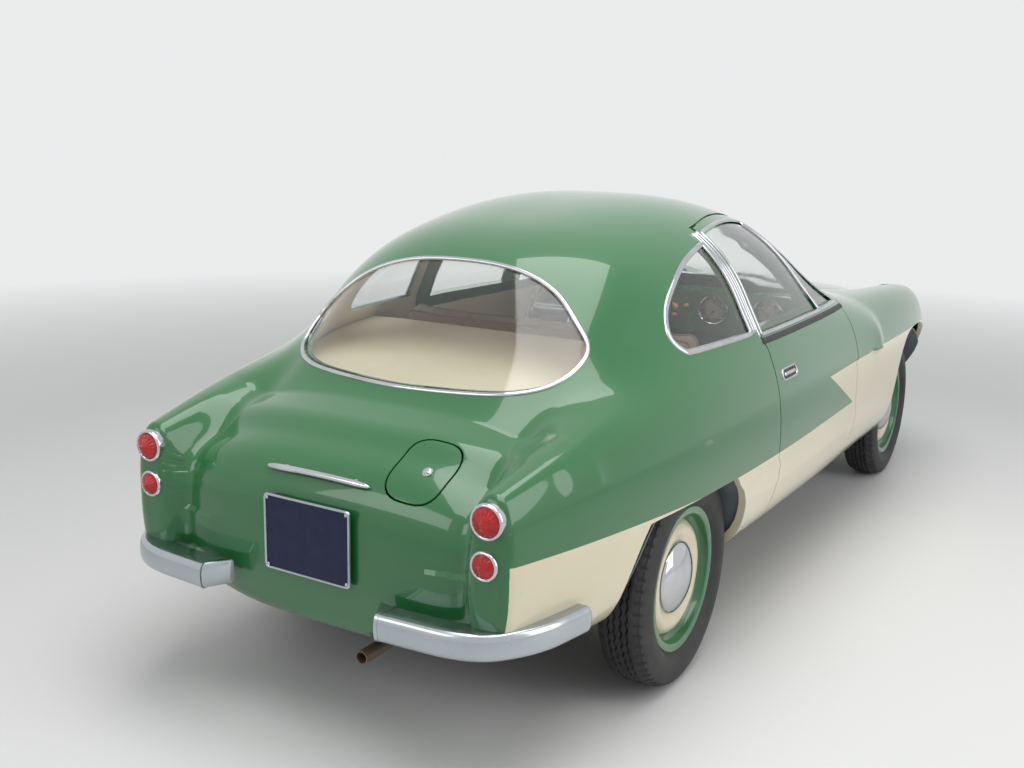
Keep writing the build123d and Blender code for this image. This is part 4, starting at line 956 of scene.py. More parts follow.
RIM = 0.190
lip = RIM + 0.017
rim_outline = [(-0.058, lip - 0.003), (-0.055, lip), (-0.052, lip - 0.002), (-0.051, RIM),
               (-0.026, RIM - 0.003), (-0.018, RIM - 0.018), (0.018, RIM - 0.018), (0.026, RIM - 0.003),
               (0.051, RIM), (0.052, lip - 0.002), (0.055, lip), (0.058, lip - 0.003), (0.058, RIM),
               (0.055, RIM - 0.006), (0.034, RIM - 0.009), (0.030, RIM - 0.012), (0.024, RIM - 0.022),
               (0.018, RIM - 0.025), (-0.022, RIM - 0.025), (-0.030, RIM - 0.009), (-0.055, RIM - 0.006),
               (-0.058, RIM)]
disc_outline = [(0.004, 0.167), (0.012, 0.168), (0.020, 0.165), (0.030, 0.158), (0.037, 0.150),
                (0.041, 0.140), (0.041, 0.130), (0.037, 0.119), (0.033, 0.108), (0.030, 0.098),
                (0.0295, 0.088), (0.0295, 0.020), (0.024, 0.020), (0.024, 0.092), (0.028, 0.110),
                (0.034, 0.132), (0.030, 0.148), (0.018, 0.158)]
cap_outline = [(0.030, 0.0001), (0.031, 0.100), (0.034, 0.1035), (0.037, 0.1025), (0.041, 0.098),
               (0.046, 0.090), (0.052, 0.078), (0.058, 0.062), (0.0625, 0.046), (0.0655, 0.030),
               (0.067, 0.014), (0.0673, 0.0001)]
drum_outline = [(-0.020, 0.016), (-0.020, 0.106), (-0.016, 0.112), (0.010, 0.112), (0.016, 0.108),
                (0.022, 0.080), (0.022, 0.016)]
rim_piece = creased(turned("rim", rim_outline))
disc_piece = creased(turned("disc", disc_outline), 50)
cap_piece = creased(turned("cap", cap_outline, closed=False), 30)
drum_piece = creased(turned("drum", drum_outline, 64))
print("wheel pieces", [len(p.data.polygons) for p in (rim_piece, disc_piece, cap_piece, drum_piece)])

# %% [markdown]
# The rim is green and the disc is cream, both a little dusty from the road. The drum behind the
# disc is plain dark iron with patches of rust.

# %% Wheel finishes
rim_paint = finish_named("rim_paint", GREEN, 0.32, tones=(GREEN, (0.075, 0.17, 0.075)),
                         patches=(18.0, 0.45, 0.8, 0.35), grain=(150.0, 0.05, 0.0006),
                         Coat_Weight=0.8, Coat_Roughness=0.08)
disc_paint = finish_named("disc_paint", CREAM, 0.33, tones=(CREAM, (0.60, 0.51, 0.33)),
                          patches=(22.0, 0.4, 0.8, 0.5), grain=(150.0, 0.05, 0.0006),
                          Coat_Weight=0.7, Coat_Roughness=0.1)
dark_iron = finish_named("dark_iron", (0.06, 0.06, 0.065), 0.55, 0.6,
                         tones=((0.05, 0.05, 0.055), (0.11, 0.085, 0.065)),
                         patches=(45.0, 0.4, 0.7, 1.0), grain=(220.0, 0.3, 0.001))
print("wheel finishes", [m.name for m in (rim_paint, disc_paint, dark_iron)])

# %% [markdown]
# ## Tyres
# A narrow crossply tyre has ribs of zigzag tread with small blocks on its shoulders. The tread
# could be cut with booleans, but the surface is a regular grid, so each point is simply lowered
# where a groove passes. The sidewall gets fine rings in the same way. It carries no lettering.

# %% Tyre with tread
tyre_rubber = finish_named("tyre_rubber", (0.022, 0.022, 0.023), 0.62,
                           tones=((0.020, 0.020, 0.021), (0.046, 0.044, 0.041)),
                           patches=(14.0, 0.4, 0.75, 0.7), grain=(500.0, 0.15, 0.0005))
TREAD_STEPS = 420
ZIGZAGS = 60
side_line = [(0.051, 0.1905), (0.052, 0.200), (0.056, 0.210), (0.064, 0.218), (0.070, 0.228),
             (0.0735, 0.240), (0.074, 0.252), (0.072, 0.264), (0.069, 0.276), (0.065, 0.287),
             (0.060, 0.295)]
crown = np.linspace(0.056, -0.056, 57)
crown_line = [(u, 0.304 - 0.009 * max(abs(u) - 0.030, 0) ** 2 / 0.026 ** 2) for u in crown]
tyre_line = np.array(side_line + crown_line + [(-u, r) for u, r in side_line[::-1]])
turn = np.linspace(0, 2 * pi, TREAD_STEPS, endpoint=False)
across, radius = tyre_line[:, :1] + 0 * turn, tyre_line[:, 1:] + 0 * turn
saw = np.abs((turn * ZIGZAGS / (2 * pi)) % 1 - 0.5) * 4 - 1
lowered = np.zeros_like(radius)
for middle, way in ((-0.027, 1), (-0.009, -1), (0.009, 1), (0.027, -1)):
    away = np.abs(across - middle - way * 0.0032 * saw)
    lowered = np.maximum(lowered, 0.0065 * (away < 0.0023))
shoulder = (np.abs(across) > 0.041) & (radius > 0.288)
slot = ((turn * ZIGZAGS / (2 * pi) + 0.25 * np.sign(across)) % 1) < 0.30
lowered = np.maximum(lowered, 0.0055 * (shoulder & slot))
ringed = (np.abs(radius - 0.262) < 0.004) | (np.abs(radius - 0.222) < 0.003)
lowered += 0.0012 * ringed * (np.abs(across) > 0.06)
radius = radius - lowered
points = np.stack([across, radius * np.cos(turn), radius * np.sin(turn)], 2).reshape(-1, 3)
faces = grid_faces(len(tyre_line), TREAD_STEPS, wrap=True)
tyre_piece = creased(turned_outward(piece_from("tyre", points, faces)), 50)
print("tyre faces", len(tyre_piece.data.polygons), "lowest tread", round(float(radius.max()), 4))

# %% [markdown]
# Each wheel's five pieces are copies of the ones above, mirrored on the car's right side, and
# they ride on that wheel's own body, so they spin and steer with it.

# %% The four wheels in place
places = {"front_left": (0.58, -1.31), "front_right": (-0.58, -1.31), "rear_left": (0.60, 1.11),
          "rear_right": (-0.60, 1.11)}
wheel_pieces = ((rim_piece, "rim", rim_paint, "wheel_paint", "wheel"),
                (disc_piece, "disc", disc_paint, "wheel_paint", ""),
                (cap_piece, "hub_cap", chrome, "chrome", ""),
                (drum_piece, "brake_drum", dark_iron, "dark_steel", ""),
                (tyre_piece, "tyre", tyre_rubber, "tyre", "tyre"))
for corner, (x, y) in places.items():
    for source, part, finish, slot, stands_for in wheel_pieces:
        made = (copied if x > 0 else mirrored)(source, f"{part}_{corner}_wheel")
        moved(made, (x, y, 0.304))
        fasten(made, finish, f"wheel_{corner}", slot, *([f"{stands_for}_{corner}"] if stands_for else []))
for source, *_ in wheel_pieces:
    bpy.data.objects.remove(source)
print("wheels", list(places))

# %% [markdown]
# ## Lamps
# A tail lamp is a chrome ring round a red glass cone. The cone is ribbed, because ribs spread
# the light, so each turned ring of points is pushed in and out a little round the circle. A
# headlamp is the same idea with a shallow dome, wide flutes and a bowl behind it.

# %% Lamp finishes and pieces
red_glass = finish_named("red_glass", (0.62, 0.008, 0.012), 0.1,
                         tones=((0.70, 0.012, 0.012), (0.40, 0.002, 0.006)),
                         patches=(60.0, 0.35, 0.75, 1.0), grain=(200.0, 0.06, 0.0008, 1.0),
                         Transmission_Weight=0.2, IOR=1.5)
lamp_glass = finish_named("lamp_glass", (0.92, 0.95, 0.95), 0.05, shine=(30.0, 0.4, 0.8, 0.03, 0.12),
                          Transmission_Weight=0.85, IOR=1.45)


def fluted(piece, count, depth, from_radius=0.0):
    """Push points in and out along the axle in waves round the circle."""
    for vertex in piece.data.vertices:
        x, a, b = vertex.co
        far = hypot(a, b)
        if far > from_radius:
            wave = cos(count * np.arctan2(b, a)) * depth * min(far / 0.03, 1)
            vertex.co = (x + wave, a, b)
    return piece


facing = {1: Matrix.Rotation(pi / 2, 4, "Z"), -1: Matrix.Rotation(-pi / 2, 4, "Z")}
rings, lenses, bowls, glasses = [], [], [], []
for x, z, radius, end in LAMPS.values():
    y = float(onto_skin([(x, z)], "y", 0.0, end * 2.2)[0, 1])
    for side in (1, -1):
        place, way = (side * x, y, z), facing[end]
        edge = radius + 0.003
        outline = [(-0.030, radius - 0.004), (-0.030, edge - 0.003), (0.002, edge), (0.007, edge - 0.001),
                   (0.010, radius - 0.001), (0.009, radius - 0.005), (0.004, radius - 0.0075)]
        rings.append(moved(creased(turned("ring", outline, 72), 60), place, way))
        if end > 0:
            r = radius - 0.005
            outline = [(0.003, r), (0.009, r - 0.0005), (0.0095, r * 0.93), (0.014, r * 0.86),
                       (0.0145, r * 0.80)]
            outline += [(0.0145 + 0.72 * (r * 0.80 - s), s) for s in r * np.linspace(0.74, 0.12, 12)]
            outline += [(outline[-1][0] + 0.0012, r * 0.05), (outline[-1][0] + 0.0014, 0.0001)]
            lenses.append(moved(fluted(turned("lens", outline, 144, False), 18, 0.0011, r * 0.2), place, way))
            continue
        r = radius - 0.006
        dome = [(0.004 + 0.020 * (1 - (s / r) ** 2), max(s, 0.0001)) for s in np.linspace(r, 0, 14)]
        dome += [(x_ - 0.003, s) for x_, s in dome[::-1]]
        glasses.append(moved(fluted(turned("glass", dome, 144), 24, 0.0006, 0.02), place, way))
        bowl = [(0.002 - 0.055 * (1 - (s / r) ** 2) ** 0.5, max(s, 0.0001)) for s in np.linspace(r, 0, 16)]
        bulb = [(-0.050, 0.0001), (-0.050, 0.012), (-0.030, 0.013), (-0.022, 0.008), (-0.018, 0.0001)]
        bulb = turned("bulb", bulb, 32, False)
        bowls += [moved(turned("bowl", bowl, 64, False), place, way), moved(bulb, place, way)]
fasten(joined("tail_lamp_lenses", lenses), red_glass, "body", "red_glass", "tail_lamps")
fasten(joined("headlamp_glasses", glasses), lamp_glass, "body", "lamp_glass", "headlamps")
fasten(joined("headlamp_bowls", bowls), chrome, "body", "chrome")
fasten(joined("lamp_rings", rings), chrome, "body", "chrome")
print("lamps", len(lenses), "at the tail and", len(glasses), "at the nose")

# %% [markdown]
# ## Bumpers
# Each corner has its own blade of polished aluminium: a broad flat top that runs into the body,
# a rounded face, a rounded tip beside the wheel, and an inner end that folds back to the body
# behind a fine raised lip. A casting like this could be sculpted, but it is one section swept
# round the corner, so the section is drawn and swept, and the two ends are added.

# %% Bumper blades
def rounded_path(points, radius, count=60):
    """Straight runs joined by small curves, in even steps."""
    line = [np.array(points[0], float)]
    for before, here, after in zip(points, points[1:], points[2:]):
        here = np.array(here, float)
        for other in (before, after):
            away = np.array(other, float) - here
            line.append(here + away / np.linalg.norm(away) * min(radius, np.linalg.norm(away) * 0.45))
        first, last = line[-2], line[-1]
        line[-1:] = [first * (1 - t) ** 2 + here * 2 * t * (1 - t) + last * t ** 2
                     for t in np.linspace(0.1, 1, 9)]
    line.append(np.array(points[-1], float))
    length = sum(np.linalg.norm(b - a) for a, b in zip(line, line[1:]))
    return even_steps(line, length / count)


BUMPER_END, FACE_DEPTH = 2.010, 0.016


def bumper_blade(name, end, corner, elbow, last):
    tip, z = BUMPER_END - FACE_DEPTH, 0.400
    stations = [(0.274, tip), (corner, tip - 0.014), (skin_width(end * elbow, z) + 0.034, elbow),
                (skin_width(end * last, z) + 0.030, last)]
    path = rounded_path([(x, y * end, z) for x, y in stations], 0.11)
    outward = np.cross((0, 0, end), np.gradient(path, axis=0))
    outward /= np.linalg.norm(outward, axis=1, keepdims=True)
    turn = np.linspace(-pi / 2, pi / 2, 13)
    face = [(0.033 * np.sign(sin(t)) * abs(sin(t)) ** 0.8, 0.001 + 0.015 * cos(t) ** 0.8) for t in turn]
    section = [(-0.026, -0.062), (-0.031, -0.020)] + face + [(0.031, -0.020), (0.027, -0.062)]
    wide = len(section)

    def ring_at(spot, way, size=1.0):
        return [spot + np.array((0, 0, -end * u)) * size + way * (v * size) for u, v in section]
    blade = swept(name, path, outward, section)
    lip = swept("lip", path[:2] + (path[0] - path[1]) * 0.2, outward[:2],
                [(u * 1.03, v * 1.06) for u, v in section])
    turn = np.linspace(0, pi / 2, 9)
    tip_path = path[-1] + np.outer(np.sin(turn), path[-1] - path[-2]) * 1.6
    points = sum([ring_at(spot, outward[-1], size) for spot, size in zip(tip_path, np.cos(turn * 0.93))], [])
    faces = grid_faces(9, wide) + [tuple(range(8 * wide, 9 * wide))]
    tip_end = turned_outward(piece_from("tip", points, faces))
    fold = ring_at(path[0], outward[0])
    fold += [spot + np.array((-0.036, -end * max(0.060 + min(v, 0), 0), end * u * 0.05))
             for spot, (u, v) in zip(fold, section)]
    faces = grid_faces(2, wide) + [tuple(range(wide, 2 * wide)), tuple(range(wide - 1, -1, -1))]
    inner_end = turned_outward(piece_from("inner_end", fold, faces))
    return joined(name, [creased(blade, 50), creased(lip, 40), creased(tip_end, 60), creased(inner_end, 30)])


PLANS = {"rear": (1, 0.520, 1.850, 1.690), "front": (-1, 0.470, 1.800, 1.700)}
for name, (end, corner, elbow, last) in PLANS.items():
    blade = bumper_blade(f"{name}_bumper_blade_left", end, corner, elbow, last)
    other = mirrored(blade, f"{name}_bumper_blade_right")
    fasten(blade, aluminium, "body", "polished_aluminium", f"{name}_bumpers")
    fasten(other, aluminium, "body", "polished_aluminium")
print("bumper blades", 2 * len(PLANS))

# %% [markdown]
# ## The tail's small fittings
# The number plate is a dark blue sheet in an aluminium frame with a screw in each corner. It is
# blank. Above it a slim chrome strip is the lid's handle, and the fuel flap has a round lock.

# %% Plate, handle and lock
plate_blue = finish_named("plate_blue", (0.006, 0.012, 0.045), 0.45,
                          tones=((0.006, 0.012, 0.045), (0.012, 0.022, 0.065)),
                          patches=(25.0, 0.4, 0.75, 0.6), grain=(120.0, 0.06, 0.0006), Specular_IOR_Level=0.3)
PLATE_MIDDLE = 0.529


def plate_ring(half_wide, half_tall, y, radius=0.012):
    outline = round_corners([(-half_wide, -half_tall), (half_wide, -half_tall), (half_wide, half_tall),
                             (-half_wide, half_tall)], radius, 7)
    return [(x, y, PLATE_MIDDLE + z) for x, z in outline]


levels = [(0.135, 0.098, 1.918), (0.135, 0.098, 1.9225), (0.1335, 0.0965, 1.9245), (0.1305, 0.0935, 1.9245),
          (0.1290, 0.092, 1.9225), (0.1285, 0.0915, 1.9185)]
faces = grid_faces(len(levels), len(plate_ring(*levels[0])))
border = turned_outward(piece_from("plate_frame", sum([plate_ring(*level) for level in levels], []), faces))
screw = [(0, 0.0001), (0.0, 0.0048), (0.0022, 0.0044), (0.0032, 0.002), (0.0034, 0.0001)]
screws = [moved(turned("screw", screw, 24, False), (x, 1.9215, PLATE_MIDDLE + z), facing[1])
          for x in (-0.124, 0.124) for z in (-0.087, 0.087)]
fasten(joined("plate_border", [creased(border, 50)] + screws), aluminium, "body", "polished_aluminium")
outline = [(x, z) for x, _, z in plate_ring(0.132, 0.095, 0.0, 0.010)]
sheet = prism(outline, "y", 1.918, 1.921)
sheet.name = "number_plate_sheet"
fasten(sheet, plate_blue, "body", "plate", "number_plate")

along = np.linspace(-0.1625, 0.1625, 49)
handle_line = onto_skin(np.stack([along, 0.679 - 0.10 * along ** 2], 1), "y", 0.0, 2.2)
handle_line += skin_slope(handle_line) * 0.009
bar = swept("bar", handle_line, skin_slope(handle_line), oval(0.0085, 0.008, 16), taper=0.05)
foot = [(-0.022, 0.0001), (-0.022, 0.007), (-0.004, 0.006), (0.0, 0.004), (0.0, 0.0001)]
feet = [moved(turned("foot", foot, 24, False), tuple(handle_line[at]), facing[1]) for at in (8, 40)]
fasten(joined("tail_handle_strip", [bar] + feet), chrome, "body", "chrome", "tail_handle")

lock = [(-0.004, 0.0001), (-0.004, 0.0135), (0.0005, 0.0135), (0.002, 0.012), (0.0022, 0.0095),
        (0.0045, 0.0090), (0.0052, 0.0075), (0.0050, 0.0035), (0.0040, 0.0030), (0.0040, 0.0001)]
lock = creased(turned("lock", lock, 40, False), 40)
tab = box_tool(0.004, 0.0075, -0.0012, 0.0012, -0.008, 0.008)
lock = joined("fuel_flap_lock", [lock, tab])
lock_place = flap_frame() @ Matrix.Translation((-0.014, 0.004, 0.0012))
lock.data.transform(lock_place @ Matrix.Rotation(-pi / 2, 4, "Y"))
fasten(lock, chrome, "fuel_flap", "chrome")
print("plate width", 2 * levels[0][0], "handle length", round(along[-1] - along[0], 3))

# %% [markdown]
# ## Door handles
# Each door has a flush handle: an oval chrome rim round a shallow dish, with a lever across it.
# The rim and the lever are swept along the door's skin, so they follow its curve.

# %% Handles on the doors
def pill(y0, y1, z, half, steps=12):
    turn = np.linspace(-pi / 2, pi / 2, steps)
    front = [(y1 - half + half * cos(t), z + half * sin(t)) for t in turn]
    rear = [(y0 + half - half * cos(t), z - half * sin(t)) for t in turn]
    return front + rear


handle_rim = even_steps(pill(0.385, 0.515, 0.7845, 0.0165), 0.004, True)
dish = np.array(pill(0.390, 0.510, 0.7845, 0.0125))
for name, side in SIDES.items():
    flip = np.array((side, 1, 1))
    line = onto_skin(handle_rim, "x", 0.3, 0.9) * flip
    rim = swept("rim", line, skin_slope(line), arch_section(0.006, 0.0035), True)
    lever_line = onto_skin(even_steps([(0.400, 0.7845), (0.500, 0.7845)], 0.004), "x", 0.3, 0.9) * flip
    lever_line = lever_line + skin_slope(lever_line) * 0.001
    lever = swept("lever", lever_line, skin_slope(lever_line), arch_section(0.013, 0.005), taper=0.012)
    fasten(joined(f"door_handle_{name}", [rim, lever]), chrome, f"door_{name}", "chrome")
    back = onto_skin(dish, "x", 0.3, 0.9) * flip
    back = back + skin_slope(back) * 0.0006
    middle = back.mean(0, keepdims=True)
    count = len(back)
    rows = np.vstack([back, back * 0.5 + middle * 0.5, middle])
    faces = grid_faces(2, count) + [(i + count, (i + 1) % count + count, 2 * count) for i in range(count)]
    dished = turned_outward(piece_from(f"door_handle_dish_{name}", rows, faces))
    fasten(dished, dark_rubber, f"door_{name}", "dark_paint")

print("door handles", 2)

# %% [markdown]
# A wiper is a rubber blade that lies on the glass, a bright holder along its back, an arm, and a
# post through the scuttle. All of it follows the skin, so it can't sink into the glass.

# %% Wipers
wipers, blades = [], []
for start, stop in ((0.36, 0.02), (-0.12, -0.44)):
    blade_line = onto_skin(even_steps([(start, 0.968), (stop, 0.962)], 0.006), "y", 0.1, -2.0)
    out = skin_slope(blade_line)
    blades.append(swept("blade", blade_line + out * 0.003, out, arch_section(0.004, 0.005), taper=0.01))
    wipers.append(swept("holder", blade_line[3:-3] + out[3:-3] * 0.009, out[3:-3], arch_section(0.006, 0.003),
                        taper=0.02))
    arm_line = even_steps([(start + 0.03, 0.938), ((start + stop) / 2, 0.964)], 0.006)
    arm_line = onto_skin(arm_line, "y", 0.1, -2.0)
    out = skin_slope(arm_line)
    wipers.append(swept("arm", arm_line + out * 0.013, out, arch_section(0.007, 0.004), taper=0.01))
    post = [(-0.02, 0.0001), (-0.02, 0.009), (0.010, 0.008), (0.018, 0.006), (0.020, 0.0001)]
    wipers.append(moved(turned("post", post, 24, False), tuple(arm_line[0]), facing[-1]))
print("wiper blades", len(blades))
fasten(joined("wiper_arms", wipers), chrome, "body", "chrome")
fasten(joined("wiper_blades", blades), dark_rubber, "body", "dark_paint")

# %% [markdown]
# ## Grille
# The mouth in the nose is guessed: an oval frame with seven flat bars, as many small cars of the
# time had. The frame is swept round the mouth, and each bar is a rounded strip across it.

# %% Grille frame and bars
mouth = even_steps(grille_outline(0.004), 0.008, True)
mouth_y = float(onto_skin([(0, 0.5)], "y", 0.0, -2.2)[0, 1])
line = onto_skin(mouth, "y", 0.0, -2.2)
pieces = [swept("frame", line, skin_slope(line), arch_section(0.016, 0.007, 0.012), True)]
for step in range(-3, 4):
    z = 0.5 + step * 0.019
    half = 0.28 - 0.085 + (0.085 ** 2 - (step * 0.019) ** 2) ** 0.5 - 0.008
    reach = np.linspace(-half, half, 40)
    line = np.stack([reach, mouth_y + 0.006 + 0.50 * reach ** 2, np.full(40, z)], 1)
    section = [(-0.0035, -0.012), (-0.0035, 0.004), (-0.0015, 0.007), (0.0015, 0.007), (0.0035, 0.004),
               (0.0035, -0.012)]
    pieces.append(creased(swept("bar", line, np.tile((0.0, -1.0, 0.0), (40, 1)), section), 40))
fasten(joined("grille_bars", pieces), chrome, "body", "chrome", "grille")
print("grille bars", len(pieces) - 1)

# %% [markdown]
# ## The bench seat
# The bench is a cushion and a backrest in brown woven cloth. Real upholstery is fabric pulled
# over filling, so each starts as a plain rounded block, slightly too small, and a short cloth
# simulation blows it up against its own stretch. Every point's way is limited, so it stays a seat.
# Sewn channels and piping come last, because the remesh would rub them out.

# %% Cloth for the seats
seat_cloth = finish_named("seat_cloth", (0.27, 0.185, 0.13), 0.92, Sheen_Weight=0.35, Sheen_Roughness=0.5)
spot = place_on(seat_cloth)
threads = []
for way in ("X", "Y"):
    turn = node(seat_cloth, "Mapping", vector_type="POINT")
    turn.inputs["Rotation"].default_value = (0.0, 0.35, 0.0)
    link(seat_cloth, spot, turn.inputs["Vector"])
    wave = node(seat_cloth, "TexWave", wave_type="BANDS", bands_direction=way, Scale=150.0, Distortion=1.4)
    link(seat_cloth, turn.outputs["Vector"], wave.inputs["Vector"])
    threads.append(wave.outputs["Fac"])
weave = sums(seat_cloth, "MULTIPLY", threads[0], threads[1])
fleck = ramp(seat_cloth, noise(seat_cloth, 320.0, 3.0), 0.4, 0.65, 0.0, 1.0)
tone = mixed(seat_cloth, fleck, (0.22, 0.145, 0.10), (0.36, 0.26, 0.19))
tone = mixed(seat_cloth, ramp(seat_cloth, weave, 0.0, 0.6, 0.35, 0.0), tone, (0.12, 0.075, 0.05))
link(seat_cloth, tone, shader_of(seat_cloth).inputs["Base Color"])
bump(seat_cloth, weave, 0.5, 0.0012)
piping_cloth = finish_named("piping_cloth", (0.20, 0.13, 0.09), 0.8,
                            tones=((0.17, 0.11, 0.075), (0.26, 0.18, 0.13)),
                            patches=(250.0, 0.35, 0.7, 1.0), grain=(600.0, 0.3, 0.0006), Sheen_Weight=0.3)
print("seat finishes", seat_cloth.name, piping_cloth.name)

# %% [markdown]
# The block is remeshed into small even faces, so that the cloth can bulge everywhere, and inner
# pressure swells it for twenty steps. Where the pad rests on the frame it stays flat.

# %% Upholstered pads
SWELL = 0.020


def rounded_block(name, size, radius):
    made = piece_from(name, [(x * size[0] / 2, y * size[1] / 2, z * size[2] / 2)
                             for x in (-1, 1) for y in (-1, 1) for z in (-1, 1)],
                      [(0, 1, 3, 2), (4, 6, 7, 5), (0, 4, 5, 1), (2, 3, 7, 6), (0, 2, 6, 4), (1, 5, 7, 3)])
    return turned_outward(reworked(made, lambda shape: bmesh.ops.bevel(
        shape, geom=shape.edges, offset=radius, segments=4, profile=0.5, affect="EDGES")))


def spots_of(piece):
    spots = np.empty(len(piece.data.vertices) * 3)
    piece.data.vertices.foreach_get("co", spots)
    return spots.reshape(-1, 3)


def upholstered(name, size, place, flat_axis, flat_side):
    """A filled cushion of the size; one side stays flat where it rests on the frame."""
    pad = rounded_block(name, [s - 0.022 for s in size], 0.024)
    mesher = pad.modifiers.new("remesh", "REMESH")
    mesher.mode, mesher.voxel_size = "VOXEL", 0.0095
    baked(pad)
    start = spots_of(pad)
    cloth = pad.modifiers.new("cloth", "CLOTH")
    cloth.settings.quality = 4
    cloth.settings.mass = 0.3
    cloth.settings.use_pressure = True
    cloth.settings.uniform_pressure_force = 4
    cloth.settings.effector_weights.gravity = 0
    for step in range(1, 21):
        bpy.context.scene.frame_set(step)
    baked(pad)
    bpy.context.scene.frame_set(1)
    moved_by = spots_of(pad) - start
    far = np.linalg.norm(moved_by, axis=1, keepdims=True)
    spots = start + moved_by * np.minimum(1, SWELL / np.maximum(far, 1e-9))
    limit = flat_side * size[flat_axis] / 2
    column = spots[:, flat_axis]
    spots[:, flat_axis] = np.minimum(column, limit) if flat_side > 0 else np.maximum(column, limit)
    pad.data.vertices.foreach_set("co", spots.ravel())
    finer = pad.modifiers.new("finer", "SUBSURF")
    finer.levels = 1
    baked(pad)
    pad.data.shade_smooth()
    pad.data.transform(place)
    return pad


print("a pad swells by", SWELL, "m at most")

# %% [markdown]
# Two more helpers do the sewing. One presses channels into the swollen pad, and the other lays
# a thin round cord on it along a rounded loop.

# %% Sewn channels and piping
def sewn(pad, place, lines=(-0.27, 0.0, 0.27), depth=0.0045, wide=0.0075):
    """Press sewn channels into a pad, along planes across its own X axis."""
    spots = spots_of(pad)
    normals = np.empty(len(spots) * 3)
    pad.data.vertices.foreach_get("normal", normals)
    own = np.array(place.inverted())
    local = spots @ own[:3, :3].T + own[:3, 3]
    push = sum(np.exp(-((local[:, 0] - x) / wide) ** 2) for x in lines)
    pad.data.vertices.foreach_set("co", (spots - normals.reshape(-1, 3) * (push * depth)[:, None]).ravel())
    pad.data.update()


def piping(pad, place, half_wide, corners):
    """A thin cord sewn round a pad, laid on its surface."""
    (y0, z0), (y1, z1) = corners
    corners = [(-half_wide, y0, z0), (half_wide, y0, z0), (half_wide, y1, z1), (-half_wide, y1, z1)]
    loop = even_steps(round_corners(corners, 0.05), 0.012, True)
    line, out = [], []
    for u, v, w in loop:
        hit, spot, normal, _ = pad.closest_point_on_mesh(place @ Vector((u, v, w)))
        line.append(tuple(spot + normal * 0.0015))
        out.append(tuple(normal))
    return swept("piping", line, np.array(out), oval(0.0035, 0.0035, 10), True)


print("piping is", 2 * 0.0035, "m thick")

# %% [markdown]
# The backrest leans back by fourteen degrees, and both pads have the size of the engineering
# model's pads.

# %% The bench in place
lean = radians(14)
cushion_place = Matrix.Translation((0, 0.37, 0.521))
cushion = upholstered("seat_cushion_pad", (1.08, 0.48, 0.138), cushion_place, 2, -1)
back_spot = (0, 0.61 + 0.064 + 0.235 * sin(lean), 0.48 + 0.235 * cos(lean))
back_place = Matrix.Translation(back_spot) @ Matrix.Rotation(-lean, 4, "X")
backrest = upholstered("seat_back_pad", (1.08, 0.12, 0.47), back_place, 2, -1)
sewn(cushion, cushion_place)
sewn(backrest, back_place)
cords = [piping(cushion, cushion_place, 0.56, [(-0.26, 0.045), (0.26, 0.045)])]
cords += [piping(backrest, back_place, 0.56, [(y, -0.26), (y, 0.26)]) for y in (-0.030, 0.035)]
for pad, node_name in ((cushion, "seat_cushion"), (backrest, "seat_back")):
    fasten(pad, seat_cloth, "body", "brown_cloth", node_name)
fasten(joined("seat_piping", cords), piping_cloth, "body", "brown_cloth")
print("bench faces", len(cushion.data.polygons), len(backrest.data.polygons))

# %% [markdown]
# ## Lining and shelf
# Behind the bench a cream shelf fills the space under the rear window, and the walls beside it
# and the roof are lined in the same leathercloth. The lining is the inner side of the body, so
# its faces get a second finish. The shelf follows the inner skin on every side.

# %% Cream leathercloth
leathercloth = finish_named("cream_leathercloth", (0.86, 0.77, 0.58), 0.5, Sheen_Weight=0.1)
grain = node(leathercloth, "TexVoronoi", Scale=420.0, feature="SMOOTH_F1")
link(leathercloth, place_on(leathercloth), grain.inputs["Vector"])
aged = ramp(leathercloth, noise(leathercloth, 3.5, 5.0), 0.3, 0.75, 0.0, 1.0)
link(leathercloth, mixed(leathercloth, aged, (0.88, 0.79, 0.60), (0.80, 0.70, 0.51)),
     shader_of(leathercloth).inputs["Base Color"])
bump(leathercloth, grain.outputs["Distance"], 0.25, 0.0008)


def lined(piece, lowest, behind):
    """Give the faces inside the car, above and behind a line, the cream finish."""
    piece.data.materials.append(leathercloth)
    middles = np.empty(len(piece.data.polygons) * 3)
    piece.data.polygons.foreach_get("center", middles)
    middles = middles.reshape(-1, 3)
    flat = np.empty(len(middles) * 3)
    piece.data.polygons.foreach_get("normal", flat)
    inward = np.einsum("ij,ij->i", flat.reshape(-1, 3), skin_slope(middles)) < -0.6
    chosen = inward & (middles[:, 2] > lowest) & (middles[:, 1] > behind) & (middles[:, 1] < 1.62)
    piece.data.polygons.foreach_set("material_index", chosen.astype(int))
    return int(chosen.sum())


print("lined faces", lined(panels["cabin_body"], 0.55, 0.40), lined(panels["front_body"], 0.98, -0.6))


def shelf_height(y):
    return 0.885 - 0.050 * max((y - 0.86) / 0.66, 0) ** 1.6


def shelf_half_width(y):
    return skin_width(y, shelf_height(y), 0.021, 30)


reach = 0.86 + 0.68 * np.sin(np.linspace(0, pi / 2, 60))
reach = [y for y in reach if shelf_half_width(y) > 0.03]
turn = np.linspace(0, pi / 2, 25)
across = np.concatenate([-np.sin(turn[:0:-1]), np.sin(turn)])
top = [(u * shelf_half_width(y), y, shelf_height(y) - 0.003 * abs(u) ** 8) for y in reach for u in across]
shelf = piece_from("parcel_shelf_board", top, grid_faces(len(reach), len(across), around=False))
thick = shelf.modifiers.new("thick", "SOLIDIFY")
thick.thickness, thick.offset = 0.012, -1
turned_outward(baked(shelf))
fasten(creased(shelf, 40), leathercloth, "body", "cream_leather", "parcel_shelf")
print("shelf reaches back to", round(reach[-1], 3))

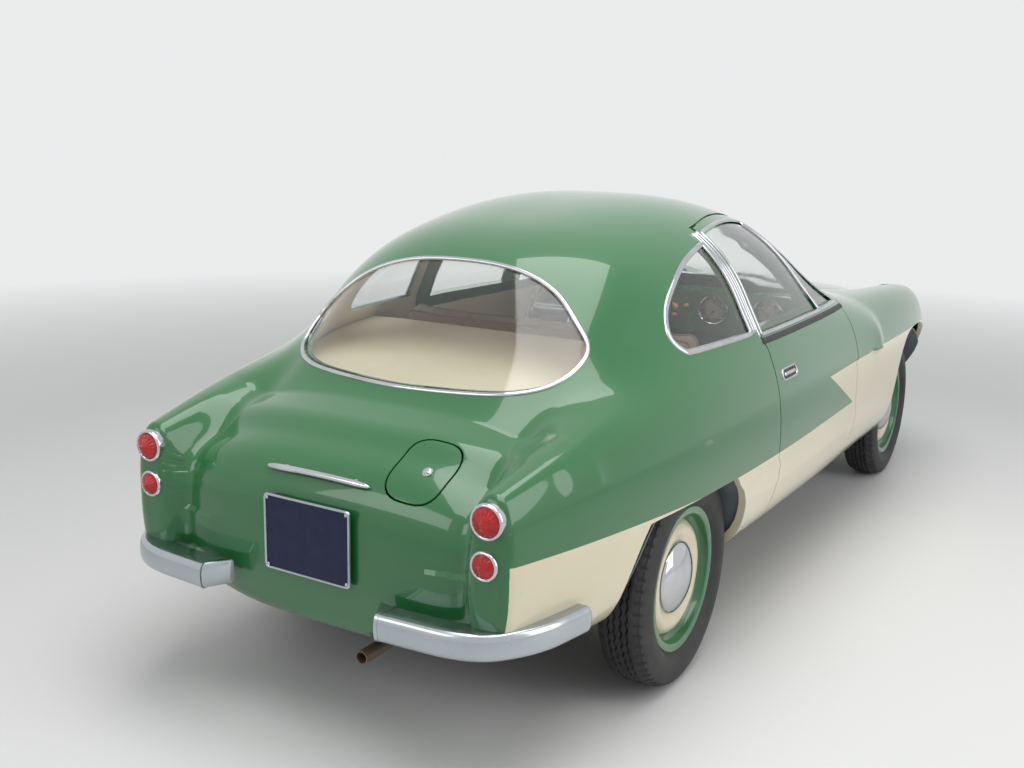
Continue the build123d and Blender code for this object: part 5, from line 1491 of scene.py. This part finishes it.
# %% [markdown]
# ## Dashboard
# The dashboard is a painted metal panel with two big dials and a few amber knobs. A dial is a
# cream disc, a dark ring with numbers, a needle, a chrome bezel and a domed glass. The numbers
# are Blender text turned into thin solid shapes.

# %% Dial finishes and figures
dial_cream = finish_named("dial_cream", (0.74, 0.68, 0.52), 0.4, patches=(120.0, 0.3, 0.8, 1.0),
                          tones=((0.76, 0.70, 0.54), (0.66, 0.58, 0.42)))
dial_dark = finish_named("dial_dark", (0.03, 0.03, 0.03), 0.4, patches=(150.0, 0.3, 0.8, 1.0),
                         tones=((0.025, 0.025, 0.025), (0.05, 0.045, 0.04)))
amber = finish_named("amber_plastic", (0.72, 0.36, 0.04), 0.2, tones=((0.75, 0.40, 0.05), (0.50, 0.20, 0.02)),
                     patches=(90.0, 0.3, 0.8, 1.0), Coat_Weight=0.5)
to_driver = Matrix(((-1, 0, 0, 0), (0, 0, 1, 0), (0, 1, 0, 0), (0, 0, 0, 1)))


def figure(text, size):
    curve_data = bpy.data.curves.new("figure", "FONT")
    curve_data.body, curve_data.size, curve_data.extrude = text, size, 0.0004
    curve_data.align_x, curve_data.align_y = "CENTER", "CENTER"
    holder = in_scene("figure", curve_data)
    ready = holder.evaluated_get(bpy.context.evaluated_depsgraph_get())
    made = in_scene("digits", bpy.data.meshes.new_from_object(ready))
    bpy.data.objects.remove(holder)
    return made


def put(piece, place):
    piece.data.transform(place)
    return piece


print("dial finishes", dial_cream.name, dial_dark.name, amber.name)

# %% [markdown]
# Both dials are built flat from the same outlines, and then stood up on the dashboard with one
# matrix. They differ only in their numbers and in where the needle points.

# %% Two dials
to_front = Matrix.Rotation(-pi / 2, 4, "Y")
cream_disc = [(0.0, 0.0001), (0.0, 0.040), (0.0062, 0.0395), (0.0070, 0.030), (0.0072, 0.0001)]
dark_ring = [(0.0, 0.0385), (0.0, 0.060), (0.0052, 0.060), (0.0056, 0.0385)]
bezel = [(-0.002, 0.056), (-0.002, 0.062), (0.008, 0.063), (0.012, 0.0615), (0.013, 0.059), (0.011, 0.0565),
         (0.006, 0.0560)]
cover = [(0.0105 + 0.0035 * (1 - (r / 0.057) ** 2), max(r, 0.0001)) for r in np.linspace(0.057, 0, 8)]
boss = [(0.006, 0.0001), (0.006, 0.005), (0.0095, 0.0045), (0.0100, 0.0001)]
creams, darks, brights, covers = [], [], [], []
for x, numbers, needle in ((-0.16, range(0, 140, 20), 235), (-0.38, range(0, 80, 10), 140)):
    at = Matrix.Translation((x, -0.300, 0.830)) @ to_driver
    creams.append(put(turned("disc", cream_disc, 72, False), at @ to_front))
    darks.append(put(turned("ring", dark_ring, 72), at @ to_front))
    brights.append(put(creased(turned("bezel", bezel, 72)), at @ to_front))
    covers.append(put(turned("cover", cover, 64, False), at @ to_front))
    for i, number in enumerate(numbers):
        angle = radians(225 - 270 * i / (len(numbers) - 1))
        spot = Matrix.Translation((0.049 * cos(angle), 0.049 * sin(angle), 0.0058))
        creams.append(put(figure(str(number), 0.012), at @ spot))
    for i in range(31):
        half = 0.0006 if i % 5 else 0.0011
        mark = box_tool(0.033, 0.0385, -half, half, 0.0070, 0.0076)
        darks.append(put(mark, at @ Matrix.Rotation(radians(225 - 9 * i), 4, "Z")))
    hand = box_tool(-0.008, 0.034, -0.0011, 0.0011, 0.0086, 0.0092)
    darks.append(put(hand, at @ Matrix.Rotation(radians(needle), 4, "Z")))
    darks.append(put(turned("boss", boss, 32, False), at @ to_front))
fasten(joined("dial_faces", creams), dial_cream, "body", "dial_plastic", "dash_dials")
fasten(joined("dial_rings", darks), dial_dark, "body", "dial_plastic")
fasten(joined("dial_covers", covers), clear_glass, "body", "glass")
print("dials", 2)

# %% [markdown]
# The knobs are amber caps on short bright stems, like the ones for lamps, choke and starter.

# %% Knobs
stem = [(-0.002, 0.0001), (-0.002, 0.011), (0.003, 0.010), (0.004, 0.0045), (0.014, 0.0045), (0.014, 0.0001)]
knob = [(0.012, 0.0001), (0.012, 0.009), (0.015, 0.0115), (0.022, 0.0115), (0.026, 0.008), (0.027, 0.0001)]
knobs = []
for x, z in ((0.0, 0.850), (0.0, 0.810), (-0.045, 0.850), (0.060, 0.830), (-0.27, 0.870), (-0.27, 0.80)):
    at = Matrix.Translation((x, -0.300, z)) @ to_driver @ to_front
    brights.append(creased(put(turned("stem", stem, 32, False), at)))
    knobs.append(put(turned("knob", knob, 40, False), at))
fasten(joined("dash_knobs", knobs), amber, "body", "dial_plastic")
fasten(joined("dash_brightwork", brights), chrome, "body", "chrome")
print("dash pieces", len(knobs) + 4)

# %% [markdown]
# ## Steering wheel
# The wheel is thin brown plastic with finger ripples on the back of its rim, three flat bright
# spokes and a domed horn button. It is modelled flat, as if on a bench, and then tilted onto the
# column, because every round part of it shares one axis.

# %% Wheel, spokes and hub
brown_plastic = finish_named("brown_plastic", (0.075, 0.028, 0.014), 0.22,
                             tones=((0.055, 0.020, 0.010), (0.13, 0.055, 0.028)),
                             patches=(22.0, 0.35, 0.7, 1.0, 6.0), Coat_Weight=0.5)
WHEEL_RADIUS, GRIP_RADIUS = 0.195, 0.009
across, along = cos(radians(33)), sin(radians(33))
wheel_place = Matrix.Translation((0.310, -0.020, 0.830)) @ Matrix(
    ((0, 1, 0, 0), (across, 0, -along, 0), (along, 0, across, 0), (0, 0, 0, 1)))
rim = turned("rim", oval(GRIP_RADIUS, GRIP_RADIUS, 20, y=WHEEL_RADIUS), 240)
for vertex in rim.data.vertices:
    x, a, b = vertex.co
    if x < 0:
        vertex.co.x = x * (1 + 0.22 * cos(60 * np.arctan2(b, a)))
hub = turned("hub", [(-0.029, 0.0001), (-0.029, 0.022), (-0.020, 0.026), (-0.004, 0.026), (0.000, 0.023),
                     (0.002, 0.0001)], 64, False)
plastic = joined("steering_wheel_rim", [rim, creased(hub, 40)])
spokes = []
for angle in (0, pi, 3 * pi / 2):
    for offset in (-0.007, 0.007):
        way = np.array((0, cos(angle), sin(angle)))
        aside = np.array((0, -sin(angle), cos(angle))) * offset
        line = [way * r + aside + np.array((-0.006 - 0.004 * sin(pi * (r - 0.02) / 0.17), 0, 0))
                for r in np.linspace(0.020, 0.190, 20)]
        spokes.append(swept("spoke", line, np.tile((1.0, 0, 0), (20, 1)), oval(0.0032, 0.0022, 20)))
button = [(0.001, 0.0001), (0.001, 0.020), (0.004, 0.021), (0.007, 0.018), (0.0095, 0.010), (0.0105, 0.0001)]
bright = joined("steering_wheel_spokes", spokes + [turned("button", button, 48, False)])
fasten(put(plastic, wheel_place), brown_plastic, "steering_wheel", "brown_plastic", "steering_wheel")
fasten(put(bright, wheel_place), chrome, "steering_wheel", "chrome")
print("steering wheel across", round(2 * (WHEEL_RADIUS + GRIP_RADIUS), 3))

# %% [markdown]
# ## Mirror and door furniture
# A small mirror hangs under the top of the windscreen. Each door card has a window winder and a
# lever that opens the door, as simple cars had. The cream cards keep their engineering shape
# and get a leathercloth finish below.

# %% Mirror and winders
mirror_body = rounded_block("mirror_body", (0.165, 0.018, 0.050), 0.008)
moved(mirror_body, (0, -0.055, 1.135), Matrix.Rotation(radians(8), 4, "X"))
stalk_line = even_steps([(0, -0.062, 1.145), (0, -0.066, 1.160), (0, -0.068, 1.178)], 0.004)
stalk = swept("stalk", stalk_line, np.tile((0, 1.0, 0), (len(stalk_line), 1)), oval(0.004, 0.004, 20))
fasten(joined("inside_mirror", [mirror_body, stalk]), chrome, "body", "chrome")
post = [(-0.008, 0.0001), (-0.008, 0.014), (0.000, 0.013), (0.006, 0.008), (0.020, 0.007), (0.021, 0.0001)]
for name, side in SIDES.items():
    grips = []
    for y, z, long, tilt in ((0.30, 0.70, 0.085, 25), (0.42, 0.80, 0.070, -20)):
        x = skin_width(y, z) - 0.055
        turned_post = turned("post", post, 32, False)
        moved(turned_post, (side * x, y, z), Matrix.Rotation(pi if side > 0 else 0, 4, "Z"))
        way = np.array((0, cos(radians(tilt)), -sin(radians(tilt))))
        line = [np.array((side * (x - 0.018), y, z)) + way * r for r in np.linspace(-0.006, long, 24)]
        arm = swept("arm", line, np.tile((-side * 1.0, 0, 0), (24, 1)),
                    oval(0.006, 0.003, 20), taper=0.01)
        grips += [creased(turned_post), arm]
    fasten(joined(f"door_furniture_{name}", grips), chrome, f"door_{name}", "chrome")
print("door furniture ready")

# %% [markdown]
# ## Finishes for the engineering pieces
# The floor, the wall behind the engine, the axles, the engine and the exhaust keep their exact
# engineering shapes. Each gets a finish that suits it: satin black underbody paint with dust,
# rough cast iron, oily steel, and a rust-stained exhaust.

# %% Underbody and mechanical finishes
def worn_finish(name, first, second, rough, metallic, scale, grain_scale, strength, **sockets):
    """A finish of two colours in patches, with uneven shine and a fine grain."""
    shine = (scale * 2.2, 0.3, 0.75, max(rough - 0.08, 0.03), min(rough + 0.12, 1.0))
    return finish_named(name, first, rough, metallic, (first, second), (scale, 0.38, 0.68, 1.0, 6.0), shine,
                        (grain_scale, strength, 0.0015, 5.0), **sockets)


underbody = worn_finish("underbody_paint", (0.035, 0.036, 0.038), (0.085, 0.078, 0.068), 0.6, 0.0,
                        7.0, 130.0, 0.25)
liner_paint = worn_finish("wheelhouse_paint", (0.13, 0.16, 0.18), (0.19, 0.21, 0.22), 0.5, 0.0,
                          6.0, 160.0, 0.2)
axle_steel = worn_finish("axle_steel", (0.05, 0.05, 0.052), (0.11, 0.095, 0.08), 0.45, 0.5, 14.0, 180.0, 0.25)
cast_iron = worn_finish("cast_iron", (0.13, 0.13, 0.135), (0.20, 0.18, 0.16), 0.6, 0.5, 12.0, 240.0, 0.5)
exhaust_steel = worn_finish("exhaust_steel", (0.16, 0.14, 0.125), (0.24, 0.13, 0.075), 0.5, 0.6,
                            16.0, 200.0, 0.3)
dash_paint = worn_finish("dash_paint", GREEN, (0.028, 0.17, 0.055), 0.25, 0.0, 4.0, 180.0, 0.03,
                         Coat_Weight=0.7)
carried = ((underbody, ("floor_pan", "firewall", "steering_column")), (liner_paint, ("wheelhouses",)),
           (axle_steel, ("front_axle", "rear_axle", "knuckle_left", "knuckle_right", "seat_frame")),
           (cast_iron, ("engine_block", "gearbox_and_shaft")), (exhaust_steel, ("exhaust",)),
           (dash_paint, ("dashboard",)), (leathercloth, ("door_card_left", "door_card_right")))
for finish, names in carried:
    for name in names:
        if not nodes[name].data.materials:
            nodes[name].data.materials.append(finish)
        for slot in nodes[name].material_slots:
            slot.material = finish
print("engineering pieces with a finish", sum(len(names) for _, names in carried))

# %% [markdown]
# ## Camera, light and floor
# The car stands on a plain pale floor in soft studio light. Three large lamps and a pale world
# give long soft reflections along the roof and wings. The camera looks down on the tail from
# behind the car's right corner.

# %% Camera, light and floor
camera_data = bpy.data.cameras.new("camera")
camera_data.sensor_width = 36.0
camera_data.lens = 40.42547
camera_data.clip_end = 60
camera = in_scene("camera", camera_data)
yaw, pitch, roll = 2.6029, -0.2219, 0.0217
forward = Vector((cos(pitch) * sin(yaw), cos(pitch) * cos(yaw), sin(pitch)))
turn = forward.to_track_quat("-Z", "Y").to_matrix().to_4x4()
camera.matrix_world = Matrix.Translation((-1.777, 3.936, 1.525)) @ turn @ Matrix.Rotation(roll, 4, "Z")
bpy.context.scene.camera = camera


def soft_lamp(name, place, aim, size, power):
    data = bpy.data.lights.new(name, "AREA")
    data.shape, data.size, data.size_y, data.energy = "RECTANGLE", size[0], size[1], power
    lamp = in_scene(name, data)
    lamp.location = place
    lamp.rotation_euler = (Vector(aim) - Vector(place)).to_track_quat("-Z", "Y").to_euler()


soft_lamp("top_light", (-0.6, 1.2, 4.6), (0, 0, 0.6), (3.2, 5.0), 150)
soft_lamp("side_light", (-5.0, 0.4, 2.6), (0, 0, 0.6), (3.0, 4.0), 80)
soft_lamp("tail_light", (1.5, 5.5, 3.0), (0, 1, 0.6), (3.0, 2.0), 40)


def seen_directly(tree):
    """One for rays that show a backdrop: from the camera, in metal, and through glass."""
    rays = tree.nodes.new("ShaderNodeLightPath")
    total = rays.outputs["Is Camera Ray"]
    for name in ("Is Glossy Ray", "Is Transmission Ray"):
        step = tree.nodes.new("ShaderNodeMath")
        step.operation = "MAXIMUM"
        tree.links.new(total, step.inputs[0])
        tree.links.new(rays.outputs[name], step.inputs[1])
        total = step.outputs[0]
    return total


BACKDROP = (0.83, 0.835, 0.84, 1)
floor_finish = finish_named("floor", (0.80, 0.80, 0.79), 0.6, tones=((0.80, 0.80, 0.79), (0.77, 0.77, 0.765)),
                            patches=(1.2, 0.3, 0.7, 0.3))
tree = floor_finish.node_tree
away = node(floor_finish, "VectorMath", operation="LENGTH")
link(floor_finish, place_on(floor_finish), away.inputs[0])
fade = ramp(floor_finish, away.outputs["Value"], 3.2, 8.0, 0.0, 1.0)
fade = sums(floor_finish, "MULTIPLY", fade, seen_directly(tree))
glow = node(floor_finish, "Emission")
glow.inputs["Color"].default_value = BACKDROP
joint = node(floor_finish, "MixShader")
link(floor_finish, fade, joint.inputs[0])
link(floor_finish, shader_of(floor_finish).outputs[0], joint.inputs[1])
link(floor_finish, glow.outputs[0], joint.inputs[2])
link(floor_finish, joint.outputs[0], tree.nodes["Material Output"].inputs["Surface"])
floor = piece_from("floor", [(-60, -60, 0), (60, -60, 0), (60, 60, 0), (-60, 60, 0)], [(0, 1, 2, 3)])
floor.data.materials.append(floor_finish)

world = bpy.data.worlds.new("studio")
bpy.context.scene.world = world
world.use_nodes = True
tree = world.node_tree
soft = tree.nodes["Background"]
soft.inputs["Color"].default_value = (0.86, 0.88, 0.90, 1)
soft.inputs["Strength"].default_value = 0.36
plain = tree.nodes.new("ShaderNodeBackground")
plain.inputs["Color"].default_value = BACKDROP
plain.inputs["Strength"].default_value = 1.0
either = tree.nodes.new("ShaderNodeMixShader")
tree.links.new(seen_directly(tree), either.inputs[0])
tree.links.new(soft.outputs[0], either.inputs[1])
tree.links.new(plain.outputs[0], either.inputs[2])
tree.links.new(either.outputs[0], tree.nodes["World Output"].inputs["Surface"])
bpy.context.scene.view_settings.view_transform = "Standard"
print("camera", [round(v, 3) for v in camera.location])
